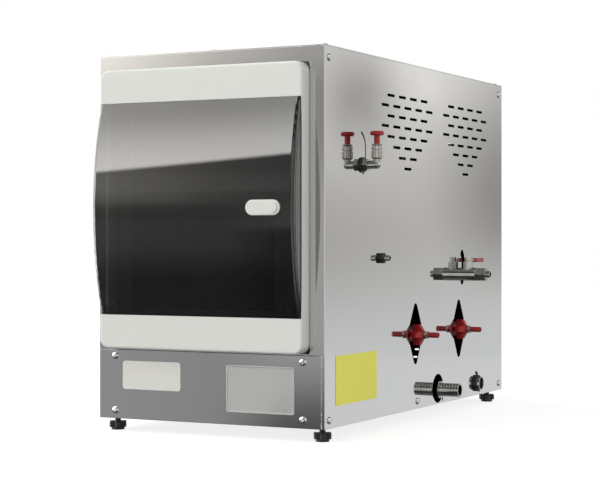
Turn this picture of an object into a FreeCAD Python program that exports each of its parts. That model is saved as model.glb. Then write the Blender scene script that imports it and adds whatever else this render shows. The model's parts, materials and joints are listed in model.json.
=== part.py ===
import FreeCAD, Part
import math
import os

# A bench water still in a stainless cabinet. Glass boilers and condensers stand behind a smoked
# door, and every water connection comes out of the right side panel.
#
# Sizes are millimetres. x is 0 in the middle of the case and grows to the right, y is 0 on the
# front sheet and grows to the back, and z is 0 on the bench. The finished pieces are moved at the
# end, so that the origin lies under the middle of the whole still.

# Case
case_width = 348.0
case_depth = 665.0
case_height = 500.0
ground_gap = 18.0
sheet = 1.5
fold = 22.0
tray_wall = 18.0
corner_round = 1.2

# Levelling feet
foot_side_inset = 15.0
foot_front_inset = 24.5
foot_rear_inset = 30.0
foot_stud_radius = 4.0
foot_pad_radius = 9.0
foot_pad_height = 3.6
foot_knob_radius = 12.7
foot_knob_height = 8.0
foot_lobes = 6
foot_lobe_radius = 3.4
foot_nut_flats = 13.0
foot_nut_height = 6.5
foot_stud_end = 3.0

# Screws
screw_radius = 2.5
screw_length = 8.0
screw_head_radius = 4.9
screw_head_height = 2.5
screw_edge_height = 1.1
recess_width = 1.2
recess_depth = 1.3
side_screw_height = 11.0
side_screw_drop = 16.3
side_screw_inset = 14.0
side_screw_middle = 309.0
lid_screw_inset = 8.0
lid_screw_setback = 16.0
front_screw_inset = 26.0
front_screw_low = 11.5
front_screw_drop = 8.2
cover_screw_inset = 14.0
cover_screw_drop = 64.0
cover_screw_scale = 0.6

# Lower front plate with its bare name plate and bare label
plate_height = 95.0
plate_left_margin = 1.0
plate_right_margin = 5.2
plate_seam = 0.6
name_plate_left = 201.4
name_plate_low = 16.9
name_plate_width = 101.5
name_plate_height = 62.6
name_plate_thick = 0.8
name_plate_rim = 1.6
label_left = 38.0
label_low = 41.2
label_width = 92.1
label_height = 38.8
label_thick = 0.5
label_round = 4.0

# Yellow label field on the right side panel
side_label_setback = 33.0
side_label_low = 28.0
side_label_length = 130.0
side_label_height = 65.5

# White cover frame
cover_left_margin = 14.0
cover_right_margin = 22.0
cover_low_margin = 98.0
cover_top_margin = 22.0
cover_stand = 20.0
cover_wall = 2.5
cover_side_wall = 1.8
cover_corner = 13.0
cover_edge_round = 3.0
cover_gap = 0.5
cover_band = 46.0
ledge_depth = 5.0
ledge_left = 20.0
ledge_right = 30.0
ledge_edge = 4.0
fascia_left = 40.0
fascia_right = 50.0
fascia_edge = 9.0
fascia_overlap = 4.0

# Smoked door, arched from top to bottom
door_arch_rise = 21.0
door_wall = 2.5
door_gap = 0.3
door_side_gap = 0.4
door_left_edge = 0.5
door_back_gap = 2.0
door_edge_round = 6.0
hinge_inset = 4.5
hinge_back = 6.0
hinge_pin_radius = 2.0
hinge_pin_length = 14.0
hinge_pin_in_door = 6.0
hinge_boss_radius = 4.0
running_gap = 0.05
moving_gap = 0.3

# Door button and its catch
button_field_length = 50.5
button_field_height = 20.3
button_field_proud = 2.2
button_right_inset = 21.25
button_radius = 6.3
button_proud = 1.0
button_travel = 3.0
button_flange_radius = 7.2
button_flange_thick = 2.0
button_depth = 6.0
housing_lip = 2.2
housing_depth = 15.0
housing_back = 2.0
stem_radius = 3.0
stem_head_radius = 4.0
stem_head_length = 6.0
catch_gap = 0.7
catch_wall = 2.5
catch_depth = 10.0
spring_wall = 1.6

# Vents of the right side panel, and of the left one, which mirrors it
vent_length = 26.0
vent_height = 4.0
vent_pitch = 40.0
vent_row_counts = (4, 5, 4, 5, 4, 3, 2, 1)
vent_row_step = 14.5
vent_top_drop = 50.5
vent_group_setbacks = (273.5, 501.0)
back_vent_count = 3
back_vent_rows = 8
back_vent_x = -108.0
back_slots = ((86.0, 426.6, 26.0, 4.4), (23.4, 79.3, 8.4, 2.8), (20.7, 66.3, 8.4, 2.8))

# Taps stand in tall holes, on small brackets behind the panel
tap_setbacks = (301.5, 472.4)
tap_height = 108.3
diamond_height = 103.7
diamond_rise = 1.2
diamond_width = 58.6
diamond_tip_radius = 7.3
bracket_depth = 8.5
bracket_half_length = 34.0
bracket_half_height = 11.0
tap_bore = 2.6
tap_tail = 34.0
tap_spout_radius = 4.0
tap_spout_end = 36.0
tap_flange_radius = 7.0
tap_flange_thick = 3.0
knob_radius = 14.8
knob_wing_thick = 8.0
knob_near = -2.5
knob_rim = -1.9
knob_rim_end = 7.4
knob_hub_radius = 5.75
knob_base_radius = 7.4
knob_neck = 12.8
knob_far = 14.8
knob_wings = 4
collar_flats = 10.8
collar_thick = 4.2
collar_notches = 6
collar_notch_width = 2.0
collar_notch_depth = 2.2
back_nut_thick = 3.6

# Distillate nozzle
distillate_setback = 178.0
distillate_height = 220.8
distillate_radius = 4.0
distillate_bore = 2.8
distillate_reach = 14.0
distillate_tail = 26.0
distillate_nut_flats = 14.1
distillate_nut_thick = 6.1
distillate_nut_chamfer = 1.6

# Elbow with a push-in socket and its red plug
elbow_setback = 116.0
elbow_height = 347.7
elbow_radius = 4.0
elbow_slit_width = 3.2
elbow_arm_radius = 5.6
elbow_riser_radius = 4.7
elbow_bore = 2.6
elbow_reach = 22.0
elbow_tail = 26.0
elbow_nut_flats = 16.0
elbow_nut_thick = 7.4
elbow_washer_radius = 10.5
elbow_washer_thick = 2.5
socket_foot = 9.3
socket_radius = 7.7
socket_height = 15.8
socket_top_radius = 7.3
socket_groove = 0.8
socket_bore = 4.1
collet_radius = 7.0
collet_sleeve_radius = 5.0
collet_height = 2.8
collet_sleeve_depth = 5.0
collet_travel = 1.0
plug_radius = 4.0
plug_rod = 14.5
plug_depth = 12.0
plug_head_radius = 9.4
plug_head_height = 5.6

# Ball valve of the cooling water
valve_setback = 480.3
valve_height = 193.0
valve_slot_width = 13.4
valve_radius = 10.0
valve_barrel_end = 26.6
valve_hex_flats = 19.0
valve_hex_end = 43.0
valve_nozzle_radius = 5.0
valve_nozzle_end = 49.0
valve_bore = 3.5
valve_tail = 28.0
valve_tail_radius = 7.0
ball_radius = 7.5
ball_gap = 0.3
valve_stem_out = 12.5
valve_stem_radius = 2.5
valve_neck_flats = 13.6
valve_neck_height = 18.8
valve_cap_flats = 9.5
valve_cap_height = 1.4
lever_thick = 2.5
lever_width = 4.4
lever_head_radius = 5.2
lever_reach = 59.0
lever_sleeve_start = 25.0
lever_sleeve_wall = 1.8
lever_nut_flats = 9.0
lever_nut_height = 3.6

# Drain nozzle and overflow nozzle
drain_setback = 387.5
drain_height = 21.8
drain_hole_radius = 21.6
drain_hole_rise = 1.6
drain_slit_width = 3.6
drain_radius = 9.9
drain_bore = 8.1
drain_reach = 35.3
drain_ribs = 7
drain_rib_height = 0.5
drain_groove = 1.2
drain_nut_flats = 24.4
drain_nut_thick = 5.0
overflow_setback = 548.5
overflow_height = 19.0
overflow_radius = 10.75
overflow_bore = 9.2
overflow_reach = 8.6
overflow_tail = 24.0
overflow_slit_width = 5.0
overflow_low_slit_width = 3.4
overflow_nut_radius = 13.0
overflow_nut_thick = 5.0
overflow_nut_chamfer = 1.2

# Glass
glass = 2.0
boiler_radius = 45.0
boiler_drop = 193.0
boiler_left_space = 59.0
boiler_right_space = 99.0
boiler_end_round = 22.0
first_boiler_setback = 165.0
second_boiler_setback = 330.0
boiler_neck_radius = 17.0
boiler_neck_length = 20.0
vapour_neck_x = -85.0
vapour_neck_radius = 12.5
vapour_neck_height = 30.0
heater_radius = 9.0
heater_reach = 165.0
heater_head_radius = 19.0
heater_head_length = 26.0
arm_radius = 4.0
arm_wall = 1.2
arm_back_reach = 32.0
drain_port_reach = 22.0
outlet_drop = 44.0
distillate_offset = 15.0
nipple_end_space = 12.0
condenser_neck_overlap = 15.0
feed_dip_start = 56.0
feed_dip_end = 92.0
clean_hose_step = 24.0
condenser_drop = 83.0
condenser_radius = 27.0
condenser_left_space = 114.0
condenser_right_space = 89.0
bulb_radius = 13.0
bulb_count = 6
core_radius = 8.0
core_exit = 25.0
nipple_radius = 4.0
nipple_length = 14.0
cleaning_xs = (-75.0, -27.0)
cleaning_drop = 286.0
cleaning_radius = 7.0
cleaning_front = 86.0
cap_radius = 8.6
cap_depth = 15.0

# Level vessel with its float
vessel_x = -40.0
vessel_radius = 28.0
vessel_drop = 258.0
vessel_height = 125.0
weir_radius = 7.0
weir_top = 85.0
float_radius = 21.0
float_hole = 9.5
float_height = 26.0
float_rest = 0.3

# Glass rack
rack_drop = 322.0
rack_front = 60.0
rack_back = 590.0
rack_half_width = 140.0
rack_leg = 25.0
rack_edge = 15.0
saddle_thick = 3.0
saddle_half_width = 34.0
saddle_xs = (-62.0, 52.0)
saddle_gap = 0.3
screen_setback = 94.0
screen_left = -103.0
screen_right = -3.0
screen_height = 67.0

# Silicone hoses
hose_radius = 5.6
hose_wall = 1.5
hose_bend = 18.0
hose_overlap = 10.0
overflow_hose_radius = 9.0
overflow_hose_wall = 1.8
fit_gap = 0.1
thread_step = 0.25

# Electric parts on the tray
contactor_x = -110.0
contactor_setback = 342.0
contactor_width = 45.0
contactor_length = 75.0
contactor_height = 80.0
terminal_setback = 430.0
terminal_count = 6
terminal_pitch = 10.0
terminal_length = 44.0
terminal_height = 42.0
gland_x = -110.0
gland_height = 60.0
gland_radius = 12.5
gland_bore = 6.5
gland_flats = 30.0
gland_reach = 24.0
lead_radius = 2.6

# Places worked out from the sizes above
half_width = case_width / 2
case_low = ground_gap
case_top = ground_gap + case_height
plate_left = -half_width + plate_left_margin
plate_right = half_width - plate_right_margin
plate_top = case_low + plate_height
cover_left = -half_width + cover_left_margin
cover_right = half_width - cover_right_margin
cover_low = case_low + cover_low_margin
cover_top = case_top - cover_top_margin
bay_low = cover_low + cover_band
bay_top = cover_top - cover_band
door_left = cover_left + door_left_edge
door_right = cover_right - cover_side_wall - door_side_gap
door_low = bay_low + door_gap
door_top = bay_top - door_gap
door_back = -ledge_depth - door_back_gap
door_middle = (bay_low + bay_top) / 2
door_face = -cover_stand - door_arch_rise
hinge_x = door_left + hinge_inset
hinge_y = -cover_stand + hinge_back
button_x = cover_right - button_right_inset - button_field_height / 2
field_middle_x = button_x + button_field_height / 2 - button_field_length / 2
tray_floor = case_low + sheet
rack_top = case_top - rack_drop
boiler_z = case_top - boiler_drop
boiler_setbacks = (first_boiler_setback, second_boiler_setback)
boiler_left = -half_width + boiler_left_space
boiler_right = half_width - boiler_right_space
condenser_z = case_top - condenser_drop
condenser_left = -half_width + condenser_left_space
condenser_right = half_width - condenser_right_space
cleaning_z = case_top - cleaning_drop
vessel_z = case_top - vessel_drop
tap_z = case_low + tap_height
distillate_z = case_low + distillate_height
elbow_z = case_low + elbow_height
valve_z = case_low + valve_height
drain_z = case_low + drain_height
overflow_z = case_low + overflow_height
inner_x = half_width - sheet

parts = {}


def box(x0, x1, y0, y1, z0, z1):
    return Part.makeBox(x1 - x0, y1 - y0, z1 - z0, FreeCAD.Vector(x0, y0, z0))


def rod_x(y, z, radius, x0, x1):
    start = FreeCAD.Vector(x0, y, z)
    return Part.makeCylinder(radius, x1 - x0, start, FreeCAD.Vector(1, 0, 0))


def rod_y(x, z, radius, y0, y1):
    start = FreeCAD.Vector(x, y0, z)
    return Part.makeCylinder(radius, y1 - y0, start, FreeCAD.Vector(0, 1, 0))


def rod_z(x, y, radius, z0, z1):
    start = FreeCAD.Vector(x, y, z0)
    return Part.makeCylinder(radius, z1 - z0, start)


def joined(pieces):
    first = pieces[0]
    if len(pieces) == 1:
        return first
    return first.multiFuse(pieces[1:]).removeSplitter()


def hex_prism(flats, length):
    corners = []
    for index in range(6):
        angle = math.radians(60 * index + 30)
        radius = flats / 2 / math.cos(math.radians(30))
        corners.append(FreeCAD.Vector(radius * math.cos(angle), radius * math.sin(angle), 0))
    face = Part.Face(Part.makePolygon(corners + [corners[0]]))
    return face.extrude(FreeCAD.Vector(0, 0, length))


def hex_x(y, z, flats, x0, x1):
    prism = hex_prism(flats, x1 - x0)
    prism.rotate(FreeCAD.Vector(0, 0, 0), FreeCAD.Vector(0, 1, 0), 90)
    prism.translate(FreeCAD.Vector(x0, y, z))
    return prism


def hex_z(x, y, flats, z0, z1):
    prism = hex_prism(flats, z1 - z0)
    prism.translate(FreeCAD.Vector(x, y, z0))
    return prism


def turned_x(y, z, outline):
    """Solid of revolution about an axis along x. The outline lists (x, radius)."""
    points = [FreeCAD.Vector(x, y + radius, z) for x, radius in outline]
    face = Part.Face(Part.makePolygon(points + [points[0]]))
    return face.revolve(FreeCAD.Vector(0, y, z), FreeCAD.Vector(1, 0, 0), 360)


def turned_z(x, y, outline):
    """Solid of revolution about an axis along z. The outline lists (radius, z)."""
    points = [FreeCAD.Vector(x + radius, y, z) for radius, z in outline]
    face = Part.Face(Part.makePolygon(points + [points[0]]))
    return face.revolve(FreeCAD.Vector(x, y, 0), FreeCAD.Vector(0, 0, 1), 360)


def rounded_plate_y(x0, x1, z0, z1, y0, y1, radius):
    """Plate facing y, with its four corners rounded."""
    plate = box(x0, x1, y0, y1, z0, z1)
    return plate.makeFillet(radius, [edge for edge in plate.Edges if along(edge, 1)])


def along(edge, axis):
    """True when a straight edge runs along axis 0, 1 or 2."""
    if edge.Curve.TypeId != "Part::GeomLine":
        return False
    direction = edge.tangentAt(edge.FirstParameter)
    return abs(abs(direction[axis]) - 1) < 1e-6


def stadium_y(x, z, length, height, y0, y1):
    """Plate facing y with round ends."""
    reach = (length - height) / 2
    pieces = [box(x - reach, x + reach, y0, y1, z - height / 2, z + height / 2)]
    for side in (-1, 1):
        pieces.append(rod_y(x + side * reach, z, height / 2, y0, y1))
    return joined(pieces)


def slot_through_side(y, z, length, height, x0, x1):
    """Round-ended cutter along y, reaching through a side panel."""
    reach = (length - height) / 2
    pieces = [box(x0, x1, y - reach, y + reach, z - height / 2, z + height / 2)]
    for side in (-1, 1):
        pieces.append(rod_x(y + side * reach, z, height / 2, x0, x1))
    return joined(pieces)


def slit_through_side(points, width, x0, x1):
    """Narrow cutter that follows (y, z) points through a side panel."""
    pieces = []
    for start, end in zip(points, points[1:]):
        length = math.hypot(end[0] - start[0], end[1] - start[1])
        bar = box(x0, x1, 0, length, -width / 2, width / 2)
        angle = math.degrees(math.atan2(end[1] - start[1], end[0] - start[0]))
        bar.rotate(FreeCAD.Vector(0, 0, 0), FreeCAD.Vector(1, 0, 0), angle)
        bar.translate(FreeCAD.Vector(0, start[0], start[1]))
        pieces.append(bar)
    for point in points:
        pieces.append(rod_x(point[0], point[1], width / 2, x0, x1))
    return joined(pieces)


def route(points, bend):
    """Wire of straight runs joined by tangent arcs through a list of points."""
    corners = [FreeCAD.Vector(*point) for point in points]
    edges = []
    start = corners[0]
    for before, corner, after in zip(corners, corners[1:], corners[2:]):
        way_in = (corner - before).normalize()
        way_out = (after - corner).normalize()
        turn = way_in.getAngle(way_out)
        shortest = min((corner - before).Length, (after - corner).Length)
        trim = min(bend * math.tan(turn / 2), 0.45 * shortest)
        radius = trim / math.tan(turn / 2)
        arc_start = corner - way_in * trim
        arc_end = corner + way_out * trim
        middle_way = (way_out - way_in).normalize()
        to_centre = radius / math.cos(turn / 2)
        arc_middle = corner + middle_way * (to_centre - radius)
        edges.append(Part.LineSegment(start, arc_start).toShape())
        edges.append(Part.Arc(arc_start, arc_middle, arc_end).toShape())
        start = arc_end
    edges.append(Part.LineSegment(start, corners[-1]).toShape())
    return Part.Wire(edges)


def pipe(points, radius, bend):
    """Round rod along a route."""
    wire = route(points, bend)
    start = FreeCAD.Vector(*points[0])
    way = FreeCAD.Vector(*points[1]) - start
    ring = Part.Wire([Part.makeCircle(radius, start, way)])
    return wire.makePipeShell([ring], True, False)


def hose(points, radius, wall, bend):
    """Hose with a bore along a route."""
    return pipe(points, radius, bend).cut(pipe(points, radius - wall, bend))


def screw(place, outward, scale=1.0):
    """Pan head screw with a cross recess. place is on the sheet, under the head."""
    length = screw_length / scale
    outline = [
        (0, -length),
        (screw_radius, -length),
        (screw_radius, 0),
        (screw_head_radius, 0),
        (screw_head_radius, screw_edge_height),
        (screw_head_radius * 0.82, screw_head_height * 0.82),
        (screw_head_radius * 0.4, screw_head_height),
        (0, screw_head_height),
    ]
    solid = turned_z(0, 0, outline)
    reach = screw_head_radius * 0.5
    low = screw_head_height - recess_depth
    recess = joined([
        box(-reach, reach, -recess_width / 2, recess_width / 2, low, screw_head_height + 1),
        box(-recess_width / 2, recess_width / 2, -reach, reach, low, screw_head_height + 1),
    ])
    return placed(solid.cut(recess).scaled(scale), place, outward)


def placed(solid, place, outward):
    turn = FreeCAD.Rotation(FreeCAD.Vector(0, 0, 1), FreeCAD.Vector(*outward))
    moved = solid.copy()
    moved.Placement = FreeCAD.Placement(FreeCAD.Vector(*place), turn)
    return moved


def screw_hole(place, outward, scale=1.0):
    radius = screw_radius * scale + running_gap
    cutter = Part.makeCylinder(radius, screw_length + 2, FreeCAD.Vector(0, 0, -screw_length - 1))
    return placed(cutter, place, outward)


def front_screw_places():
    places = []
    for x in (plate_left + front_screw_inset, plate_right - front_screw_inset):
        for z in (case_low + front_screw_low, plate_top - front_screw_drop):
            places.append(((x, 0, z), (0, -1, 0)))
    return places


def side_screw_places():
    places = []
    low = case_low + side_screw_height
    high = case_top - side_screw_drop
    back = case_depth - side_screw_inset
    for side in (-1, 1):
        for y, z in ((side_screw_inset, high), (back, high), (side_screw_inset, low),
                     (side_screw_middle, low), (back, low)):
            places.append(((side * half_width, y, z), (side, 0, 0)))
    return places


def lid_screw_places():
    places = []
    reach = half_width - lid_screw_inset
    for y in (lid_screw_setback, case_depth - lid_screw_setback):
        for x in (-reach, 0, reach):
            places.append(((x, y, case_top), (0, 0, 1)))
    return places


def back_screw_places():
    places = []
    reach = half_width - side_screw_inset
    for x in (-reach, 0, reach):
        places.append(((x, case_depth, case_low + side_screw_height), (0, 1, 0)))
    return places


def cover_screw_places():
    places = []
    for x in (cover_left + cover_screw_inset, cover_right - cover_screw_inset):
        for z in (cover_low + cover_screw_drop, cover_top - cover_screw_drop):
            places.append(((x, -ledge_depth, z), (0, -1, 0)))
    return places


def all_screw_places():
    outer = front_screw_places() + side_screw_places() + lid_screw_places()
    return outer + back_screw_places()


def drilled(solid):
    """Sheet metal with the holes of every case screw that meets it."""
    holes = [screw_hole(place, outward) for place, outward in all_screw_places()]
    box_of_solid = solid.BoundBox
    near = [hole for hole in holes if hole.BoundBox.intersect(box_of_solid)]
    return solid.cut(near)


def add_screws(name, places, scale=1.0):
    parts[name] = [screw(place, outward, scale) for place, outward in places]


def foot_places():
    reach = half_width - foot_side_inset
    back = case_depth - foot_rear_inset
    return {
        "foot_front_left": (-reach, foot_front_inset),
        "foot_front_right": (reach, foot_front_inset),
        "foot_rear_left": (-reach, back),
        "foot_rear_right": (reach, back),
    }


def add_feet():
    nuts = []
    nut_top = tray_floor + foot_nut_height
    for name, (x, y) in foot_places().items():
        knob_top = foot_pad_height + foot_knob_height
        lobe_circle = foot_knob_radius - foot_lobe_radius
        pieces = [
            rod_z(x, y, foot_pad_radius, 0, foot_pad_height),
            rod_z(x, y, lobe_circle, foot_pad_height, knob_top),
            rod_z(x, y, foot_stud_radius, knob_top, nut_top + foot_stud_end),
        ]
        for index in range(foot_lobes):
            angle = 2 * math.pi * index / foot_lobes
            lobe_x = x + lobe_circle * math.cos(angle)
            lobe_y = y + lobe_circle * math.sin(angle)
            pieces.append(rod_z(lobe_x, lobe_y, foot_lobe_radius, foot_pad_height, knob_top))
        parts[name] = [joined(pieces)]
        nut = hex_z(x, y, foot_nut_flats, tray_floor, nut_top)
        bore = rod_z(x, y, foot_stud_radius + running_gap, tray_floor - 1, nut_top + 1)
        nuts.append(nut.cut(bore))
    parts["foot_nuts"] = nuts


def add_base_tray():
    side = half_width - sheet
    front = 2 * sheet
    back = case_depth - sheet
    floor = box(-side, side, front, back, case_low, tray_floor)
    top = case_low + tray_wall
    walls = [
        box(-side, -side + sheet, front, back, case_low, top),
        box(side - sheet, side, front, back, case_low, top),
        box(-side, side, front, front + sheet, case_low, top),
        box(-side, side, back - sheet, back, case_low, top),
    ]
    tray = joined([floor] + walls)
    cuts = [
        rod_x(drain_setback, drain_z + drain_hole_rise, drain_hole_radius, side - 2 * sheet,
              side + 1),
        rod_x(overflow_setback, overflow_z, overflow_nut_radius, side - 2 * sheet, side + 1),
        low_slits(side - 2 * sheet, side + 1),
    ]
    for x, y in foot_places().values():
        cuts.append(rod_z(x, y, foot_stud_radius + moving_gap, case_low - 1, tray_floor + 1))
    parts["base_tray"] = [drilled(tray.cut(cuts))]


def add_front_frame():
    top = case_top - sheet
    seam = plate_top + plate_seam
    face = box(-half_width, half_width, 0, sheet, seam, top)
    upright = [edge for edge in face.Edges if along(edge, 2) and edge.CenterOfMass.y < sheet / 2]
    face = face.makeFillet(corner_round, upright)
    strip = box(plate_right + plate_seam, half_width, 0, sheet, case_low, seam)
    window = box(cover_left - cover_gap, cover_right + cover_gap, -1, sheet,
                 cover_low - cover_gap, cover_top + cover_gap)
    ring_side = half_width - 2 * sheet
    ring = box(-ring_side, ring_side, sheet, 2 * sheet, case_low, top - sheet)
    inner = box(cover_left + ledge_left / 2, cover_right - ledge_right / 2, 0, fold,
                bay_low - cover_wall, bay_top + cover_wall)
    returns = []
    for side in (-1, 1):
        edge = sorted((side * ring_side, side * (ring_side + sheet)))
        low = case_low + tray_wall + 1
        returns.append(box(edge[0], edge[1], sheet, fold, low, top))
    returns.append(box(-ring_side, ring_side, sheet, fold, top - sheet, top))
    frame = joined([face.cut(window), strip] + [ring.cut(inner)] + returns)
    holes = [screw_hole(place, outward, cover_screw_scale) for place, outward in cover_screw_places()]
    parts["front_frame"] = [drilled(frame).cut(holes)]


def add_lower_plate():
    plate = box(plate_left, plate_right, 0, sheet, case_low + plate_seam, plate_top)
    parts["lower_front_plate"] = [drilled(plate)]


def vent_cutters(x0, x1):
    """Cutters for the two fields of vents in the right side panel."""
    cutters = []
    for setback in vent_group_setbacks:
        for row, count in enumerate(vent_row_counts):
            z = case_top - vent_top_drop - row * vent_row_step
            for index in range(count):
                y = setback + (index - (count - 1) / 2) * vent_pitch
                cutters.append(slot_through_side(y, z, vent_length, vent_height, x0, x1))
    return cutters


def diamond_cutter(y, x0, x1):
    """Tall four-pointed cutter round a tap. Its upper and lower tips are round."""
    tips = []
    middle = tap_z + diamond_rise
    for dy, dz in ((0, diamond_height / 2), (diamond_width / 2, 0),
                   (0, -diamond_height / 2), (-diamond_width / 2, 0)):
        tips.append(FreeCAD.Vector(x0, y + dy, middle + dz))
    face = Part.Face(Part.makePolygon(tips + [tips[0]]))
    solid = face.extrude(FreeCAD.Vector(x1 - x0, 0, 0))
    long_edges = [edge for edge in solid.Edges if along(edge, 0)]
    sharp = [edge for edge in long_edges if abs(edge.CenterOfMass.z - middle) > diamond_height / 4]
    return solid.makeFillet(diamond_tip_radius, sharp)


def bracket(y, z):
    """Small bridge welded behind the panel, which carries a tap or a nozzle."""
    outer = inner_x
    inner = inner_x - bracket_depth
    bridge = box(inner - sheet, inner, y - bracket_half_length, y + bracket_half_length,
                 z - bracket_half_height, z + bracket_half_height)
    feet = []
    for side in (-1, 1):
        y0, y1 = sorted((y + side * bracket_half_length, y + side * (bracket_half_length - sheet)))
        feet.append(box(inner, outer, y0, y1, z - bracket_half_height, z + bracket_half_height))
    return joined([bridge] + feet)


def add_side_panels():
    top = case_top - sheet
    back = case_depth - sheet
    left = box(-half_width, -inner_x, sheet, back, case_low, top)
    parts["left_side_panel"] = [drilled(left)]
    x0 = half_width - 4 * bracket_depth
    x1 = half_width + 1
    cutters = vent_cutters(inner_x - 1, x1)
    for y in tap_setbacks:
        cutters.append(diamond_cutter(y, inner_x - 1, x1))
    cutters.append(rod_x(drain_setback, drain_z + drain_hole_rise, drain_hole_radius,
                         inner_x - 1, x1))
    cutters.append(rod_x(overflow_setback, overflow_z, overflow_radius - thread_step + fit_gap,
                         x0, x1))
    cutters.append(rod_x(distillate_setback, distillate_z,
                         distillate_radius - thread_step + fit_gap, x0, x1))
    cutters.append(rod_x(elbow_setback, elbow_z, elbow_radius + fit_gap, x0, x1))
    cutters.append(rod_x(valve_setback, valve_z, valve_tail_radius + fit_gap, x0, x1))
    cutters.append(elbow_slit(inner_x - 1, x1))
    cutters.append(valve_slot(inner_x - 1, x1))
    cutters.append(low_slits(inner_x - 1, x1))
    right = box(inner_x, half_width, sheet, back, case_low, top).cut(cutters)
    pieces = [right]
    for y in tap_setbacks:
        hole = rod_x(y, tap_z, tap_spout_radius - thread_step + fit_gap, x0, x1)
        pieces.append(bracket(y, tap_z).cut(hole))
    hole = rod_x(drain_setback, drain_z, drain_radius - thread_step + fit_gap, x0, x1)
    drain_bracket = bracket(drain_setback, drain_z).cut(hole)
    wall = box(inner_x - sheet - fit_gap, inner_x, drain_setback - bracket_half_length - 1,
               drain_setback + bracket_half_length + 1, case_low, case_low + tray_wall + fit_gap)
    below = box(x0, inner_x, drain_setback - bracket_half_length - 1,
                drain_setback + bracket_half_length + 1, case_low, tray_floor + fit_gap)
    pieces.append(drain_bracket.cut([wall, below]))
    parts["right_side_panel"] = [drilled(joined(pieces))]


def elbow_slit(x0, x1):
    """Narrow curved slit that rises from behind the elbow."""
    y = elbow_setback
    z = elbow_z
    points = ((y - 2.4, z + 44), (y + 4.0, z + 40), (y + 8.6, z + 33.5), (y + 11.0, z + 25),
              (y + 11.0, z + 2), (y + 7.5, z - 6.5), (y + 3.0, z - 11.5))
    return slit_through_side(points, elbow_slit_width, x0, x1)


def valve_slot(x0, x1):
    """Wide curved slot that shows above and below the ball valve."""
    y = valve_setback
    z = valve_z
    upper = ((y + 6.2, z + 31), (y + 9.4, z + 26), (y + 10.4, z + 20), (y + 10.4, z + 12))
    lower = ((y + 9.4, z - 5), (y + 6.4, z - 9.8))
    cutters = [slit_through_side(points, valve_slot_width, x0, x1) for points in (upper, lower)]
    return joined(cutters)


def low_slits(x0, x1):
    """Short slits that show beside the drain nozzle and round the overflow nozzle."""
    y = drain_setback
    z = drain_z
    beside_drain = ((y + 18.4, z - 15.0), (y + 17.4, z - 17.4))
    y = overflow_setback
    z = overflow_z
    above = ((y - 2.5, z + 17.0), (y + 4.5, z + 14.0))
    below = ((y + 12.0, z - 13.2), (y + 14.0, z - 14.2))
    return joined([
        slit_through_side(beside_drain, drain_slit_width, x0, x1),
        slit_through_side(above, overflow_slit_width, x0, x1),
        slit_through_side(below, overflow_low_slit_width, x0, x1),
    ])


def add_back_panel():
    top = case_top - sheet
    face = box(-half_width, half_width, case_depth - sheet, case_depth, case_low, top)
    side = half_width - 2 * sheet
    front = case_depth - fold
    back = case_depth - sheet
    low = case_low + tray_wall + 1
    returns = [
        box(-side - sheet, -side, front, back, low, top),
        box(side, side + sheet, front, back, low, top),
        box(-side, side, front, back, top - sheet, top),
    ]
    cutters = [rod_y(gland_x, case_low + gland_height, gland_radius + fit_gap, back - 1,
                     case_depth + 1)]
    for row in range(back_vent_rows):
        z = case_top - vent_top_drop - row * vent_row_step
        count = back_vent_count - row % 2
        for index in range(count):
            x = back_vent_x + (index - (count - 1) / 2) * vent_pitch
            cutters.append(stadium_y(x, z, vent_length, vent_height, back - 1, case_depth + 1))
    for x, z, length, height in back_slots:
        cutters.append(stadium_y(x, z, length, height, back - 1, case_depth + 1))
    panel = joined([face] + returns).cut(cutters)
    parts["back_panel"] = [drilled(panel)]


def add_top_lid():
    lid = box(-half_width, half_width, 0, case_depth, case_top - sheet, case_top)
    parts["top_lid"] = [drilled(lid)]


def add_bare_plates():
    x0 = plate_left + name_plate_left
    z0 = case_low + name_plate_low
    x1 = x0 + name_plate_width
    z1 = z0 + name_plate_height
    plate = rounded_plate_y(x0, x1, z0, z1, -name_plate_thick, 0, label_round / 2)
    rim = name_plate_rim
    field = rounded_plate_y(x0 + rim, x1 - rim, z0 + rim, z1 - rim, -name_plate_thick - 1,
                            -name_plate_thick / 2, label_round / 2)
    parts["name_plate"] = [plate.cut(field)]
    x0 = plate_left + label_left
    z0 = case_low + label_low
    parts["front_label"] = [rounded_plate_y(x0, x0 + label_width, z0, z0 + label_height,
                                            -label_thick, 0, label_round)]
    z0 = case_low + side_label_low
    field = box(half_width, half_width + label_thick, side_label_setback,
                side_label_setback + side_label_length, z0, z0 + side_label_height)
    corners = [edge for edge in field.Edges if along(edge, 0)]
    parts["side_label"] = [field.makeFillet(label_round / 4, corners)]


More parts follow.
